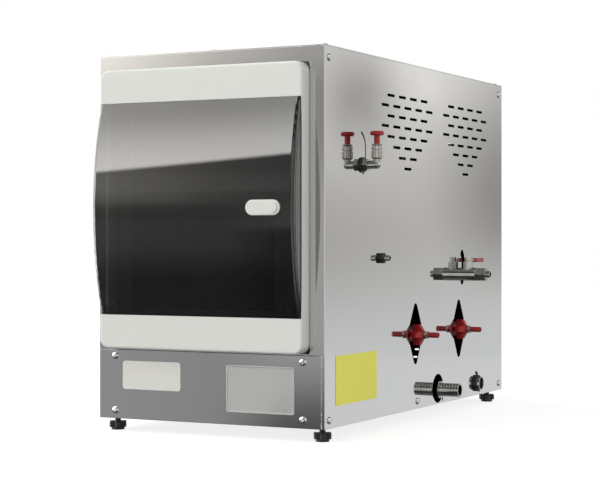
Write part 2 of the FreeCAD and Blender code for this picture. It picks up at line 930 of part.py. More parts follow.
def add_cover_frame():
    back = sheet
    front = -cover_stand
    block = rounded_plate_y(cover_left, cover_right, cover_low, cover_top, front, back,
                            cover_corner)
    rim = [edge for edge in block.Edges if abs(edge.BoundBox.YMax - front) < 0.01]
    block = block.makeFillet(cover_edge_round, rim)
    bay = box(cover_left - 1, cover_right - cover_side_wall, front - 1, -ledge_depth,
              bay_low, bay_top)
    inside_left = cover_left + cover_side_wall
    inside_right = cover_right - cover_side_wall
    inside_low = cover_low + cover_wall
    inside_top = cover_top - cover_wall
    face_back = front + cover_wall
    low_hollow = rounded_plate_y(inside_left, inside_right, inside_low, bay_low - cover_wall,
                                 face_back, back, cover_wall)
    top_hollow = rounded_plate_y(inside_left, inside_right, bay_top + cover_wall, inside_top,
                                 face_back, back, cover_wall)
    corner_keep = cover_corner - cover_wall
    rear = rounded_plate_y(inside_left, inside_right, inside_low, inside_top,
                           -ledge_depth + cover_wall, back + 1, corner_keep)
    low_hollow = low_hollow.common(tall_core(face_back, back, corner_keep))
    top_hollow = top_hollow.common(tall_core(face_back, back, corner_keep))
    opening = box(cover_left + ledge_left, cover_right - ledge_right, -ledge_depth - 1, back + 1,
                  bay_low + ledge_edge, bay_top - ledge_edge)
    frame = block.cut([bay, low_hollow, top_hollow, rear, opening])
    for z0, z1 in hinge_pin_spans():
        hole = rod_z(hinge_x, hinge_y, hinge_pin_radius + running_gap, z0, z1)
        frame = frame.cut(hole)
    holes = [screw_hole(place, outward, cover_screw_scale) for place, outward in cover_screw_places()]
    parts["cover_frame"] = [frame.cut(holes)]


def tall_core(y0, y1, radius):
    """Inside space of the cover, with its corners rounded like the outside."""
    return rounded_plate_y(cover_left + cover_side_wall, cover_right - cover_side_wall,
                           cover_low + cover_wall, cover_top - cover_wall, y0, y1, radius)


def hinge_pin_spans():
    outside = hinge_pin_length - hinge_pin_in_door
    return ((bay_low - outside, bay_low + hinge_pin_in_door),
            (bay_top - hinge_pin_in_door, bay_top + outside))


def add_fascia():
    front = -ledge_depth + cover_wall
    x0 = cover_left + ledge_left - fascia_overlap
    x1 = cover_right - ledge_right + fascia_overlap
    plate = box(x0, x1, front, front + cover_wall, bay_low, bay_top)
    opening = box(cover_left + fascia_left, cover_right - fascia_right, front - 1,
                  front + cover_wall + 1, bay_low + fascia_edge, bay_top - fascia_edge)
    parts["inner_fascia"] = [plate.cut(opening)]


def door_outline(inset):
    """Side outline of the arched door as a face in the y-z plane, drawn inside by inset."""
    low = door_low + inset
    top = door_top - inset
    chord = bay_top - bay_low
    arch_radius = (chord * chord / 4 + door_arch_rise * door_arch_rise) / (2 * door_arch_rise)
    centre_y = door_face + arch_radius
    radius = arch_radius - inset
    half = (top - low) / 2
    shoulder = centre_y - math.sqrt(radius * radius - half * half)
    back = door_back + (1 if inset else 0)
    corners = [
        FreeCAD.Vector(0, back, low),
        FreeCAD.Vector(0, shoulder, low),
        FreeCAD.Vector(0, centre_y - radius, door_middle),
        FreeCAD.Vector(0, shoulder, top),
        FreeCAD.Vector(0, back, top),
    ]
    edges = [
        Part.LineSegment(corners[0], corners[1]).toShape(),
        Part.Arc(corners[1], corners[2], corners[3]).toShape(),
        Part.LineSegment(corners[3], corners[4]).toShape(),
        Part.LineSegment(corners[4], corners[0]).toShape(),
    ]
    return Part.Face(Part.Wire(edges))


def door_body(inset, rounding):
    """Arched block between the door's side walls, with its long arched edges rounded."""
    x0 = door_left + inset
    x1 = door_right - inset
    face = door_outline(inset)
    face.translate(FreeCAD.Vector(x0, 0, 0))
    block = face.extrude(FreeCAD.Vector(x1 - x0, 0, 0))
    arched = [edge for edge in block.Edges if edge.Curve.TypeId == "Part::GeomCircle"]
    return block.makeFillet(rounding, arched)


def add_door():
    shell = door_body(0, door_edge_round).cut(door_body(door_wall, door_edge_round - door_wall))
    bosses = []
    for z0, z1 in ((door_low, door_low + 2 * door_wall + hinge_pin_in_door),
                   (door_top - 2 * door_wall - hinge_pin_in_door, door_top)):
        bosses.append(rod_z(hinge_x, hinge_y, hinge_boss_radius, z0, z1))
    door = joined([shell] + bosses)
    bores = []
    for z0, z1 in hinge_pin_spans():
        bores.append(rod_z(hinge_x, hinge_y, hinge_pin_radius + running_gap, z0 - 1, z1 + 1))
    inner_length = button_field_length - 2 * housing_lip + fit_gap
    inner_height = button_field_height - 2 * housing_lip + fit_gap
    hole = stadium_y(field_middle_x, door_middle, inner_length, inner_height,
                     door_face - 1, door_face + 3 * door_wall)
    parts["smoked_door"] = [door.cut(bores + [hole])]
    pins = []
    for z0, z1 in hinge_pin_spans():
        pins.append(rod_z(hinge_x, hinge_y, hinge_pin_radius, z0, z1))
    parts["door_hinge_pins"] = pins


def add_button():
    front = door_face - button_field_proud
    back = door_face + housing_depth
    inner_length = button_field_length - 2 * housing_lip
    inner_height = button_field_height - 2 * housing_lip
    field = stadium_y(field_middle_x, door_middle, button_field_length, button_field_height,
                      front, door_face)
    rim = [edge for edge in field.Edges if abs(edge.BoundBox.YMax - front) < 0.01]
    field = field.makeFillet(button_field_proud / 2, rim)
    barrel = stadium_y(field_middle_x, door_middle, inner_length, inner_height, door_face, back)
    bore_end = front + button_proud + button_depth
    cuts = [
        rod_y(button_x, door_middle, button_radius + fit_gap, front - 1, back - housing_back),
        rod_y(button_x, door_middle, stem_radius + fit_gap, front, back + 1),
        rod_y(button_x, door_middle, button_flange_radius + moving_gap, bore_end,
              back - housing_back),
    ]
    parts["button_housing"] = [joined([field, barrel]).cut(cuts)]
    flange_front = bore_end + moving_gap
    flange_back = flange_front + button_flange_thick
    stem_end = -ledge_depth - button_travel - catch_gap
    button = joined([
        rod_y(button_x, door_middle, button_radius, front - button_proud, flange_back),
        rod_y(button_x, door_middle, button_flange_radius, flange_front, flange_back),
        rod_y(button_x, door_middle, stem_radius, flange_back, stem_end),
        rod_y(button_x, door_middle, stem_head_radius, stem_end - stem_head_length, stem_end),
    ])
    parts["push_button"] = [button]
    spring_front = flange_back + button_travel + fit_gap
    ring = rod_y(button_x, door_middle, stem_radius + fit_gap + spring_wall, spring_front,
                 back - housing_back)
    hole = rod_y(button_x, door_middle, stem_radius + fit_gap, spring_front - 1, back)
    parts["button_spring"] = [ring.cut(hole)]


def add_catch():
    inner = stem_head_radius + catch_gap
    outer = inner + catch_wall
    back = -ledge_depth + cover_wall
    front = back - catch_depth
    x0 = button_x - outer
    block = box(x0, button_x + outer, front, back, door_middle - outer, door_middle + outer)
    socket = rod_y(button_x, door_middle, inner, front - 1, -ledge_depth + fit_gap)
    step = box(cover_right - ledge_right, button_x + outer + 1, -ledge_depth, back + 1,
               door_middle - outer - 1, door_middle + outer + 1)
    parts["door_catch"] = [block.cut([socket, step])]


def add_rack():
    low = rack_top - sheet
    top = box(-rack_half_width, rack_half_width, rack_front, rack_back, low, rack_top)
    pieces = [top]
    for side in (-1, 1):
        x0, x1 = sorted((side * rack_half_width, side * (rack_half_width - sheet)))
        pieces.append(box(x0, x1, rack_front, rack_back, rack_top - rack_edge, rack_top))
        leg_x0, leg_x1 = sorted((side * rack_half_width, side * (rack_half_width - rack_leg)))
        for y, way in ((rack_front, 1), (rack_back, -1)):
            y0, y1 = sorted((y, y + way * sheet))
            pieces.append(box(leg_x0, leg_x1, y0, y1, tray_floor, low))
            y0, y1 = sorted((y, y + way * rack_leg))
            pieces.append(box(x0, x1, y0, y1, tray_floor, low))
    for setback in boiler_setbacks:
        for x in saddle_xs:
            plate = box(x, x + saddle_thick, setback - saddle_half_width,
                        setback + saddle_half_width, low, boiler_z)
            seat = rod_x(setback, boiler_z, boiler_radius + saddle_gap, x - 1,
                         x + saddle_thick + 1)
            pieces.append(plate.cut(seat))
    screen = box(screen_left, screen_right, screen_setback, screen_setback + sheet, low,
                 rack_top + screen_height)
    holes = []
    for x in cleaning_xs:
        holes.append(rod_y(x, cleaning_z, cleaning_radius + moving_gap,
                           screen_setback - 1, screen_setback + 2 * sheet))
    pieces.append(screen.cut(holes))
    pedestal = turned_z(vessel_x, overflow_setback, [
        (weir_radius + hose_radius, low),
        (vessel_radius - glass, low),
        (vessel_radius - glass, vessel_z - moving_gap),
        (weir_radius + hose_radius, vessel_z - moving_gap),
    ])
    pieces.append(pedestal)
    rack = joined(pieces)
    wide = hose_radius + moving_gap
    cuts = [rod_z(vessel_x, overflow_setback, overflow_hose_radius + moving_gap, low - 1,
                  rack_top + 1)]
    for setback in boiler_setbacks:
        cuts.append(rod_z(drain_arm_x(), setback, wide, low - 1, rack_top + 1))
    parts["glass_rack"] = [rack.cut(cuts)]


def drain_arm_x():
    return saddle_xs[1] - rack_edge - saddle_half_width / 2


def feed_arm_x():
    return vessel_x


def boiler_outline(inset):
    """Half outline of a boiler: a closed round end at the right, an open neck at the left."""
    r = boiler_radius - inset
    x0 = boiler_left + inset
    x1 = boiler_right - inset
    c = boiler_end_round - inset
    s = math.sqrt(0.5)
    neck = boiler_neck_radius - inset
    neck_end = boiler_left - boiler_neck_length - (1 if inset else 0)
    points = [
        FreeCAD.Vector(neck_end, 0, 0),
        FreeCAD.Vector(neck_end, neck, 0),
        FreeCAD.Vector(x0, neck, 0),
        FreeCAD.Vector(x0, r - c, 0),
        FreeCAD.Vector(x0 + c, r, 0),
        FreeCAD.Vector(x1 - c, r, 0),
        FreeCAD.Vector(x1, r - c, 0),
        FreeCAD.Vector(x1, 0, 0),
    ]
    left_middle = FreeCAD.Vector(x0 + c - c * s, r - c + c * s, 0)
    right_middle = FreeCAD.Vector(x1 - c + c * s, r - c + c * s, 0)
    edges = []
    for index, (start, end) in enumerate(zip(points, points[1:] + points[:1])):
        if index == 3:
            edges.append(Part.Arc(start, left_middle, end).toShape())
        elif index == 5:
            edges.append(Part.Arc(start, right_middle, end).toShape())
        else:
            edges.append(Part.LineSegment(start, end).toShape())
    face = Part.Face(Part.Wire(edges))
    return face.revolve(FreeCAD.Vector(0, 0, 0), FreeCAD.Vector(1, 0, 0), 360)


def boiler_body(y, inset):
    body = boiler_outline(inset)
    body.translate(FreeCAD.Vector(0, y, boiler_z))
    return body


def glass_tubes(body_outer, body_inner, tubes):
    """Blown body with side tubes. A tube is (outer solid, bore solid)."""
    outer = joined([body_outer] + [tube[0] for tube in tubes])
    inner = joined([body_inner] + [tube[1] for tube in tubes])
    return outer.cut(inner)


def tube_pair(points, radius, wall, bend):
    """Outer rod and longer bore of a glass side tube that ends open."""
    last = FreeCAD.Vector(*points[-1])
    way = (last - FreeCAD.Vector(*points[-2])).normalize()
    longer = list(points[:-1]) + [tuple(last + way)]
    return pipe(points, radius, bend), pipe(longer, radius - wall, bend)


def boiler_tubes(y, index):
    """Side tubes of one boiler: vapour neck, drain, and what only this one has."""
    top = boiler_z + boiler_radius
    inside = boiler_radius - 2 * glass
    low = boiler_z - boiler_radius
    arm_end = low - nipple_length
    neck = (rod_z(vapour_neck_x, y, vapour_neck_radius, boiler_z + inside,
                  top + vapour_neck_height),
            rod_z(vapour_neck_x, y, vapour_neck_radius - glass, boiler_z + inside - 1,
                  top + vapour_neck_height + 1))
    tubes = [neck]
    drop = ((drain_arm_x(), y, boiler_z - inside), (drain_arm_x(), y, arm_end))
    tubes.append(tube_pair(drop, arm_radius, arm_wall, hose_bend))
    if index == 0:
        feed = ((feed_arm_x(), y, boiler_z - inside), (feed_arm_x(), y, arm_end))
        tubes.append(tube_pair(feed, arm_radius, arm_wall, hose_bend))
        side = boiler_right - boiler_end_round
        port = ((side, y, boiler_z + boiler_end_round), (boiler_right + drain_port_reach, y,
                boiler_z + boiler_end_round), (boiler_right + drain_port_reach, y - drain_port_reach,
                boiler_z + boiler_end_round))
        tubes.append(tube_pair(port, arm_radius, arm_wall, arm_radius * 2))
        z = cleaning_z
        start = y - boiler_radius / 2
        for x in cleaning_xs:
            arm = ((x, start, boiler_z - boiler_radius / 2), (x, start, z),
                   (x, cleaning_front, z))
            tubes.append(tube_pair(arm, cleaning_radius, arm_wall, cleaning_radius * 2))
    else:
        side = boiler_right - boiler_end_round
        z = boiler_z + boiler_end_round
        inlet = ((side, y, z), (condensate_x(), y, z), (condensate_x(), y - arm_back_reach, z))
        tubes.append(tube_pair(inlet, arm_radius, arm_wall, arm_radius * 2))
    return tubes


def condensate_x():
    return condenser_right + core_exit


def add_boilers():
    for index, (name, y) in enumerate(zip(("first_boiler", "second_boiler"), boiler_setbacks)):
        body = glass_tubes(boiler_body(y, 0), boiler_body(y, glass), boiler_tubes(y, index))
        parts[name] = [body]
    for name, y in zip(("first_heater", "second_heater"), boiler_setbacks):
        neck_end = boiler_left - boiler_neck_length
        rod = rod_x(y, boiler_z, heater_radius, neck_end - 2, neck_end + heater_reach)
        tip = Part.makeSphere(heater_radius, FreeCAD.Vector(neck_end + heater_reach, y, boiler_z))
        stopper = rod_x(y, boiler_z, boiler_neck_radius - glass - fit_gap, neck_end - 1,
                        neck_end + boiler_neck_length / 2)
        head = rod_x(y, boiler_z, heater_head_radius, neck_end - heater_head_length, neck_end)
        parts[name] = [joined([rod, tip, stopper, head])]
    caps = []
    z = cleaning_z
    for x in cleaning_xs:
        mouth = screen_setback - 1
        cap = rod_y(x, z, cap_radius, mouth - cap_depth, mouth)
        bore = rod_y(x, z, cleaning_radius + fit_gap, cleaning_front, mouth + 1)
        caps.append(cap.cut(bore))
    parts["cleaning_port_caps"] = caps


def bulb_outline(inset):
    """Outline of the condenser's inner tube as (x, radius), a row of bulbs."""
    points = []
    length = condenser_right - condenser_left
    step = length / bulb_count
    waist = core_radius - inset
    swell = bulb_radius - inset
    for index in range(bulb_count):
        x = condenser_left + index * step
        points.append((x, waist))
        points.append((x + 0.3 * step, swell))
        points.append((x + 0.7 * step, swell))
    closed_end = condenser_right - inset
    points.append((closed_end, waist))
    return [(points[0][0], 0)] + points + [(closed_end, 0)]


def condenser_ways(y, out_x):
    """Routes of the vapour inlet and the condensate outlet of one condenser."""
    bend = core_radius * 2
    neck_top = boiler_z + boiler_radius + vapour_neck_height
    cone_end = neck_top - condenser_neck_overlap
    inlet = ((condenser_left + 2, y, condenser_z), (vapour_neck_x, y, condenser_z),
             (vapour_neck_x, y, cone_end))
    outlet = ((condenser_right - 2, y, condenser_z), (out_x, y, condenser_z),
              (out_x, y, condenser_z - outlet_drop))
    return inlet, outlet, bend


def add_condenser(name, y, out_x, nipples):
    shell = rod_x(y, condenser_z, condenser_radius, condenser_left, condenser_right)
    space = rod_x(y, condenser_z, condenser_radius - glass, condenser_left + glass,
                  condenser_right - glass)
    inlet, outlet, bend = condenser_ways(y, out_x)
    core = turned_x(y, condenser_z, bulb_outline(0))
    bore = turned_x(y, condenser_z, bulb_outline(arm_wall))
    tubes_out = [core]
    tubes_in = [bore]
    for points, radius in ((inlet, core_radius), (outlet, arm_radius)):
        outer, inner = tube_pair(points, radius, arm_wall, bend)
        tubes_out.append(outer)
        tubes_in.append(inner)
    jacket_out = [shell]
    jacket_in = []
    for points in nipples:
        outer, inner = tube_pair(points, nipple_radius, arm_wall, bend)
        jacket_out.append(outer)
        jacket_in.append(inner)
    whole = joined(jacket_out + tubes_out)
    water = joined([space.cut(core)] + jacket_in)
    parts[name] = [whole.cut(water).cut(joined(tubes_in))]


def nipple(x, y, direction):
    """Straight route of a jacket nipple, from inside the jacket wall outward."""
    start = condenser_radius - 2 * glass
    end = condenser_radius + nipple_length
    begin = (x, y + direction[0] * start, condenser_z + direction[1] * start)
    finish = (x, y + direction[0] * end, condenser_z + direction[1] * end)
    return begin, finish


def near_nipple_x():
    return condenser_right - nipple_end_space


def far_nipple_x():
    return condenser_left + nipple_end_space


def distillate_x():
    return condensate_x() + distillate_offset


def add_condensers():
    first, second = boiler_setbacks
    add_condenser("first_condenser", first, condensate_x(),
                  [nipple(far_nipple_x(), first, (1, 0)), nipple(near_nipple_x(), first, (0, 1))])
    add_condenser("second_condenser", second, distillate_x(),
                  [nipple(near_nipple_x(), second, (1, 0)), nipple(far_nipple_x(), second, (-1, 0))])


def add_vessel():
    x = vessel_x
    y = overflow_setback
    top = vessel_z + vessel_height
    outer = rod_z(x, y, vessel_radius, vessel_z, top)
    inner = rod_z(x, y, vessel_radius - glass, vessel_z + glass, top - glass)
    weir = rod_z(x, y, weir_radius, vessel_z - nipple_length, vessel_z + weir_top)
    weir_bore = rod_z(x, y, weir_radius - arm_wall, vessel_z - nipple_length - 1,
                      vessel_z + weir_top + 1)
    side = ((x, y - vessel_radius + 2 * glass, feed_z()), (x, y - vessel_radius - nipple_length,
            feed_z()))
    side_outer, side_inner = tube_pair(side, arm_radius, arm_wall, hose_bend)
    inlet = ((x, y, top - 2 * glass), (x, y, top + nipple_length))
    inlet_outer, inlet_inner = tube_pair(inlet, arm_radius, arm_wall, hose_bend)
    whole = joined([outer, side_outer, inlet_outer, weir])
    water = joined([inner.cut(weir), side_inner, inlet_inner])
    parts["level_vessel"] = [whole.cut(water).cut(weir_bore)]
    low = vessel_z + glass + float_rest
    ring = rod_z(x, y, float_radius, low, low + float_height)
    hole = rod_z(x, y, float_hole, low - 1, low + float_height + 1)
    body = ring.cut(hole)
    rims = [edge for edge in body.Edges if edge.Curve.TypeId == "Part::GeomCircle"]
    parts["level_float"] = [body.makeFillet(2.0, rims)]


def feed_z():
    return vessel_z + glass + arm_radius + 2.0


def hose_over(points):
    """Silicone hose pushed over a nipple at each of its ends."""
    return hose(points, arm_radius + fit_gap + hose_wall, hose_wall, hose_bend)


def add_hoses():
    first, second = boiler_setbacks
    tail = half_width - valve_tail
    jacket = condenser_radius + nipple_length - hose_overlap
    x = near_nipple_x()
    supply = hose_over(((tail + hose_overlap, valve_setback, valve_z), (x, valve_setback, valve_z),
                        (x, valve_setback, condenser_z), (x, second + jacket, condenser_z)))
    link = hose_over(((far_nipple_x(), second - jacket, condenser_z),
                      (far_nipple_x(), first + jacket, condenser_z)))
    high = case_top - sheet - 3.5 * hose_radius
    top = vessel_z + vessel_height + nipple_length - hose_overlap
    outlet = hose_over(((x, first, condenser_z + jacket), (x, first, high),
                        (x, overflow_setback, high), (vessel_x, overflow_setback, high),
                        (vessel_x, overflow_setback, top)))
    parts["cooling_hoses"] = [supply, link, outlet]
    arm = boiler_z + boiler_end_round
    out_end = condenser_z - outlet_drop + hose_overlap
    condensate = hose_over(((condensate_x(), first, out_end), (condensate_x(), first, arm),
                            (condensate_x(), second - arm_back_reach
                             + hose_overlap, arm)))
    nozzle = half_width - distillate_tail + hose_overlap
    product = hose_over(((distillate_x(), second, out_end), (distillate_x(), second, distillate_z),
                         (distillate_x(), distillate_setback, distillate_z),
                         (nozzle, distillate_setback, distillate_z)))
    parts["distillate_hoses"] = [condensate, product]
    low = boiler_z - boiler_radius - nipple_length + hose_overlap
    drains = []
    for y, tap_y in zip(boiler_setbacks, tap_setbacks):
        tap_end = half_width - tap_tail + hose_overlap
        drains.append(hose_over(((drain_arm_x(), y, low), (drain_arm_x(), y, tap_z),
                                 (drain_arm_x(), tap_y, tap_z), (tap_end, tap_y, tap_z))))
    weir_end = vessel_z - nipple_length + hose_overlap
    overflow_end = half_width - overflow_tail + hose_overlap
    wide = weir_radius + fit_gap + overflow_hose_wall
    overflow = hose(((vessel_x, overflow_setback, weir_end), (vessel_x, overflow_setback,
                    overflow_z), (overflow_end, overflow_setback, overflow_z)), wide,
                    overflow_hose_wall, hose_bend)
    parts["drain_hoses"] = drains + [overflow]
    feed_start = overflow_setback - vessel_radius - nipple_length + hose_overlap
    dip = rack_top + 4 * hose_radius
    feed = hose_over(((vessel_x, feed_start, feed_z()), (vessel_x, feed_start - feed_dip_start,
                     feed_z()),
                      (vessel_x, feed_start - feed_dip_end, dip), (vessel_x, first, dip),
                      (vessel_x, first, low)))
    port_y = first - drain_port_reach + hose_overlap
    port_x = boiler_right + drain_port_reach
    clean_end = half_width - elbow_tail + hose_overlap
    clean = hose_over(((port_x, port_y, arm), (port_x, elbow_setback, arm),
                       (port_x + clean_hose_step, elbow_setback, elbow_z),
                       (clean_end, elbow_setback, elbow_z)))
    parts["boiler_hoses"] = [feed, clean]


def add_distillate_nozzle():
    x0 = half_width - distillate_tail
    shoulder = rod_x(distillate_setback, distillate_z, distillate_nut_flats / 2,
                     inner_x - 3 * sheet, inner_x)
    nut_end = half_width + distillate_nut_thick
    thread = rod_x(distillate_setback, distillate_z, distillate_radius - thread_step, x0, nut_end)
    free_end = rod_x(distillate_setback, distillate_z, distillate_radius, nut_end,
                     half_width + distillate_reach)
    bore = rod_x(distillate_setback, distillate_z, distillate_bore, x0 - 1,
                 half_width + distillate_reach + 1)
    parts["distillate_nozzle"] = [joined([thread, free_end, shoulder]).cut(bore)]


def add_elbow():
    x = half_width + elbow_reach
    y = elbow_setback
    z = elbow_z
    socket_low = z + socket_foot
    socket_top = socket_low + socket_height
    nut_end = half_width + elbow_washer_thick + elbow_nut_thick
    level = rod_x(y, z, elbow_radius, half_width - elbow_tail, nut_end)
    arm = rod_x(y, z, elbow_arm_radius, nut_end, x)
    knee = Part.makeSphere(elbow_arm_radius, FreeCAD.Vector(x, y, z))
    riser = rod_z(x, y, elbow_riser_radius, z, socket_low)
    shoulder = rod_x(y, z, elbow_nut_flats / 2, inner_x - 3 * sheet, inner_x)
    groove_z = socket_low + socket_height * 0.62
    outer = turned_z(x, y, [
        (0, socket_low - 2), (socket_radius - 2, socket_low - 2), (socket_radius, socket_low),
        (socket_radius, groove_z - socket_groove),
        (socket_top_radius - socket_groove, groove_z - socket_groove),
        (socket_top_radius - socket_groove, groove_z + socket_groove),
        (socket_top_radius, groove_z + socket_groove),
        (socket_top_radius, socket_top), (0, socket_top),
    ])
    body = joined([level, arm, knee, riser, shoulder, outer])
    bores = [
        rod_x(y, z, elbow_bore, half_width - elbow_tail - 1, x),
        Part.makeSphere(elbow_bore, FreeCAD.Vector(x, y, z)),
        rod_z(x, y, elbow_bore, z, socket_top),
        rod_z(x, y, socket_bore, socket_top - plug_depth - moving_gap, socket_top + 1),
        rod_z(x, y, collet_sleeve_radius + fit_gap, socket_top - collet_sleeve_depth
              - collet_travel - moving_gap, socket_top + 1),
    ]
    parts["elbow_fitting"] = [body.cut(bores)]
    washer = rod_x(y, z, elbow_washer_radius, half_width, half_width + elbow_washer_thick)
    hole = rod_x(y, z, elbow_radius + fit_gap, half_width - 1, half_width + elbow_washer_thick + 1)
    parts["elbow_washer"] = [washer.cut(hole)]
    gap = collet_travel + moving_gap
    collet_low = socket_top + gap
    collet = joined([
        rod_z(x, y, collet_radius, collet_low, collet_low + collet_height - gap),
        rod_z(x, y, collet_sleeve_radius, socket_top - collet_sleeve_depth, collet_low),
    ])
    through = rod_z(x, y, plug_radius + running_gap, z, collet_low + collet_height)
    parts["elbow_collet"] = [collet.cut(through)]
    rod_low = socket_top - plug_depth
    head_low = socket_top + plug_rod
    head_top = head_low + plug_head_height
    edge = plug_head_height / 2
    plug = turned_z(x, y, [
        (0, rod_low), (plug_radius - 0.8, rod_low), (plug_radius, rod_low + 0.8),
        (plug_radius, head_low), (plug_head_radius - 1.2, head_low),
        (plug_head_radius, head_low + edge / 2), (plug_head_radius, head_low + edge * 1.5),
        (plug_head_radius - 1.2, head_top), (0, head_top),
    ])
    parts["red_plug"] = [plug]


def add_valve():
    y = valve_setback
    z = valve_z
    face = half_width
    stem_x = face + valve_stem_out
    barrel = turned_x(y, z, [
        (face - valve_tail, 0), (face - valve_tail, arm_radius),
        (face - valve_tail + hose_overlap + 2, arm_radius),
        (face - valve_tail + hose_overlap + 2, valve_tail_radius),
        (face, valve_tail_radius), (face, valve_radius),
        (face + valve_barrel_end, valve_radius), (face + valve_barrel_end, 0),
    ])
    nut_end = hex_x(y, z, valve_hex_flats, face + valve_barrel_end, face + valve_hex_end)
    nozzle = rod_x(y, z, valve_nozzle_radius, face + valve_hex_end, face + valve_nozzle_end)
    neck = hex_z(stem_x, y, valve_neck_flats, z, z + valve_neck_height)
    body = joined([barrel, nut_end, nozzle, neck])
    cuts = [
        rod_x(y, z, valve_bore - arm_wall, face - valve_tail - 1, face),
        rod_x(y, z, valve_bore, face - hose_overlap, face + valve_nozzle_end + 1),
        Part.makeSphere(ball_radius + ball_gap, FreeCAD.Vector(stem_x, y, z)),
        rod_z(stem_x, y, valve_stem_radius + running_gap, z, z + valve_neck_height + 1),
    ]
    parts["inlet_valve_body"] = [body.cut(cuts)]
    ball = Part.makeSphere(ball_radius, FreeCAD.Vector(stem_x, y, z))
    neck_top = z + valve_neck_height
    lever_low = neck_top + valve_cap_height
    lever_top = lever_low + lever_thick
    stem_top = lever_top + lever_nut_height
    stem = rod_z(stem_x, y, valve_stem_radius, z + ball_radius / 2, stem_top)
    bore = rod_y(stem_x, z, valve_bore, y - ball_radius - 1, y + ball_radius + 1)
    parts["inlet_valve_ball"] = [joined([ball, stem]).cut(bore)]
    strip = box(stem_x - lever_width / 2, stem_x + lever_width / 2, y,
                y + lever_reach - lever_sleeve_wall, lever_low, lever_top)
    head = rod_z(stem_x, y, lever_head_radius, lever_low, lever_top)
    collar = hex_z(stem_x, y, valve_cap_flats, neck_top + moving_gap, lever_low)
    nut = hex_z(stem_x, y, lever_nut_flats, lever_top, stem_top)
    round_hole = rod_z(stem_x, y, valve_stem_radius + running_gap, neck_top, stem_top + 1)
    parts["inlet_valve_lever"] = [joined([strip, head, collar, nut]).cut(round_hole)]
    sleeve_half = lever_width / 2 + lever_sleeve_wall
    outer = box(stem_x - sleeve_half, stem_x + sleeve_half, y + lever_sleeve_start, y + lever_reach,
                lever_low - lever_sleeve_wall, lever_top + lever_sleeve_wall)
    outer = outer.makeFillet(lever_sleeve_wall, outer.Edges)
    parts["lever_sleeve"] = [outer.cut(strip)]


def knob_solid(y):
    """Four-winged tap knob round its spout, wide beside the panel and narrow at the collar."""
    x = half_width
    core = turned_x(y, tap_z, [
        (x + knob_near, 0), (x + knob_near, knob_base_radius),
        (x + knob_rim_end, knob_base_radius), (x + knob_neck, knob_hub_radius),
        (x + knob_far, knob_hub_radius), (x + knob_far, 0),
    ])
    wings = []
    for index in range(knob_wings):
        outline = [
            (x + knob_near, 0), (x + knob_near, knob_base_radius),
            (x + knob_rim, knob_radius), (x + knob_rim_end, knob_radius),
            (x + knob_neck, knob_hub_radius), (x + knob_neck, 0),
        ]
        points = [FreeCAD.Vector(px, y - knob_wing_thick / 2, tap_z + pr) for px, pr in outline]
        face = Part.Face(Part.makePolygon(points + [points[0]]))
        wing = face.extrude(FreeCAD.Vector(0, knob_wing_thick, 0))
        angle = 360 / knob_wings * index
        wing.rotate(FreeCAD.Vector(x, y, tap_z), FreeCAD.Vector(1, 0, 0), angle)
        wings.append(wing)
    bore = rod_x(y, tap_z, tap_spout_radius - thread_step + running_gap, x + knob_near - 1,
                 x + knob_far + 1)
    return joined([core] + wings).cut(bore)


def castle_nut(y, start):
    """Hexagon nut with slots in its outer end, which keeps a knob on its spout."""
    end = start + collar_thick
    nut = hex_x(y, tap_z, collar_flats, start, end)
    cuts = [rod_x(y, tap_z, tap_spout_radius - thread_step + fit_gap, start - 1, end + 1)]
    for index in range(collar_notches):
        notch = box(end - collar_notch_depth, end + 1, y - collar_notch_width / 2,
                    y + collar_notch_width / 2, tap_z + tap_spout_radius, tap_z + collar_flats)
        notch.rotate(FreeCAD.Vector(start, y, tap_z), FreeCAD.Vector(1, 0, 0),
                     360 / collar_notches * index)
        cuts.append(notch)
    return nut.cut(cuts)


def add_taps():
    x = half_width
    bracket_face = inner_x - bracket_depth
    for order, y in zip(("first", "second"), tap_setbacks):
        collar_end = x + knob_far + moving_gap + collar_thick
        tube = rod_x(y, tap_z, tap_spout_radius - thread_step, x - tap_tail, collar_end)
        spout = rod_x(y, tap_z, tap_spout_radius, collar_end, x + tap_spout_end)
        flange = rod_x(y, tap_z, tap_flange_radius, bracket_face, bracket_face + tap_flange_thick)
        bore = rod_x(y, tap_z, tap_bore, x - tap_tail - 1, x + tap_spout_end + 1)
        parts[order + "_drain_tap"] = [joined([tube, spout, flange]).cut(bore)]
        parts[order + "_drain_knob"] = [knob_solid(y)]


def add_drain_nozzle():
    x = half_width
    y = drain_setback
    z = drain_z
    bracket_face = inner_x - bracket_depth
    tail = bracket_face - sheet - drain_nut_thick
    thread = drain_radius - thread_step
    outline = [(tail, 0), (tail, thread), (x + drain_nut_thick, thread)]
    step = (drain_reach - drain_nut_thick + drain_groove) / drain_ribs
    for index in range(drain_ribs):
        start = x + drain_nut_thick + index * step
        outline.append((start, drain_radius))
        outline.append((start + step - drain_groove, drain_radius))
        if index < drain_ribs - 1:
            outline.append((start + step - drain_groove, drain_radius - drain_rib_height))
            outline.append((start + step, drain_radius - drain_rib_height))
    outline.append((x + drain_reach, 0))
    tube = turned_x(y, z, outline)
    nut = hex_x(y, z, drain_nut_flats, x - moving_gap, x + drain_nut_thick)
    shoulder = rod_x(y, z, drain_nut_flats / 2, bracket_face, x)
    bore = rod_x(y, z, drain_bore, tail - 1, x + drain_reach + 1)
    parts["drain_nozzle"] = [joined([tube, nut, shoulder]).cut(bore)]


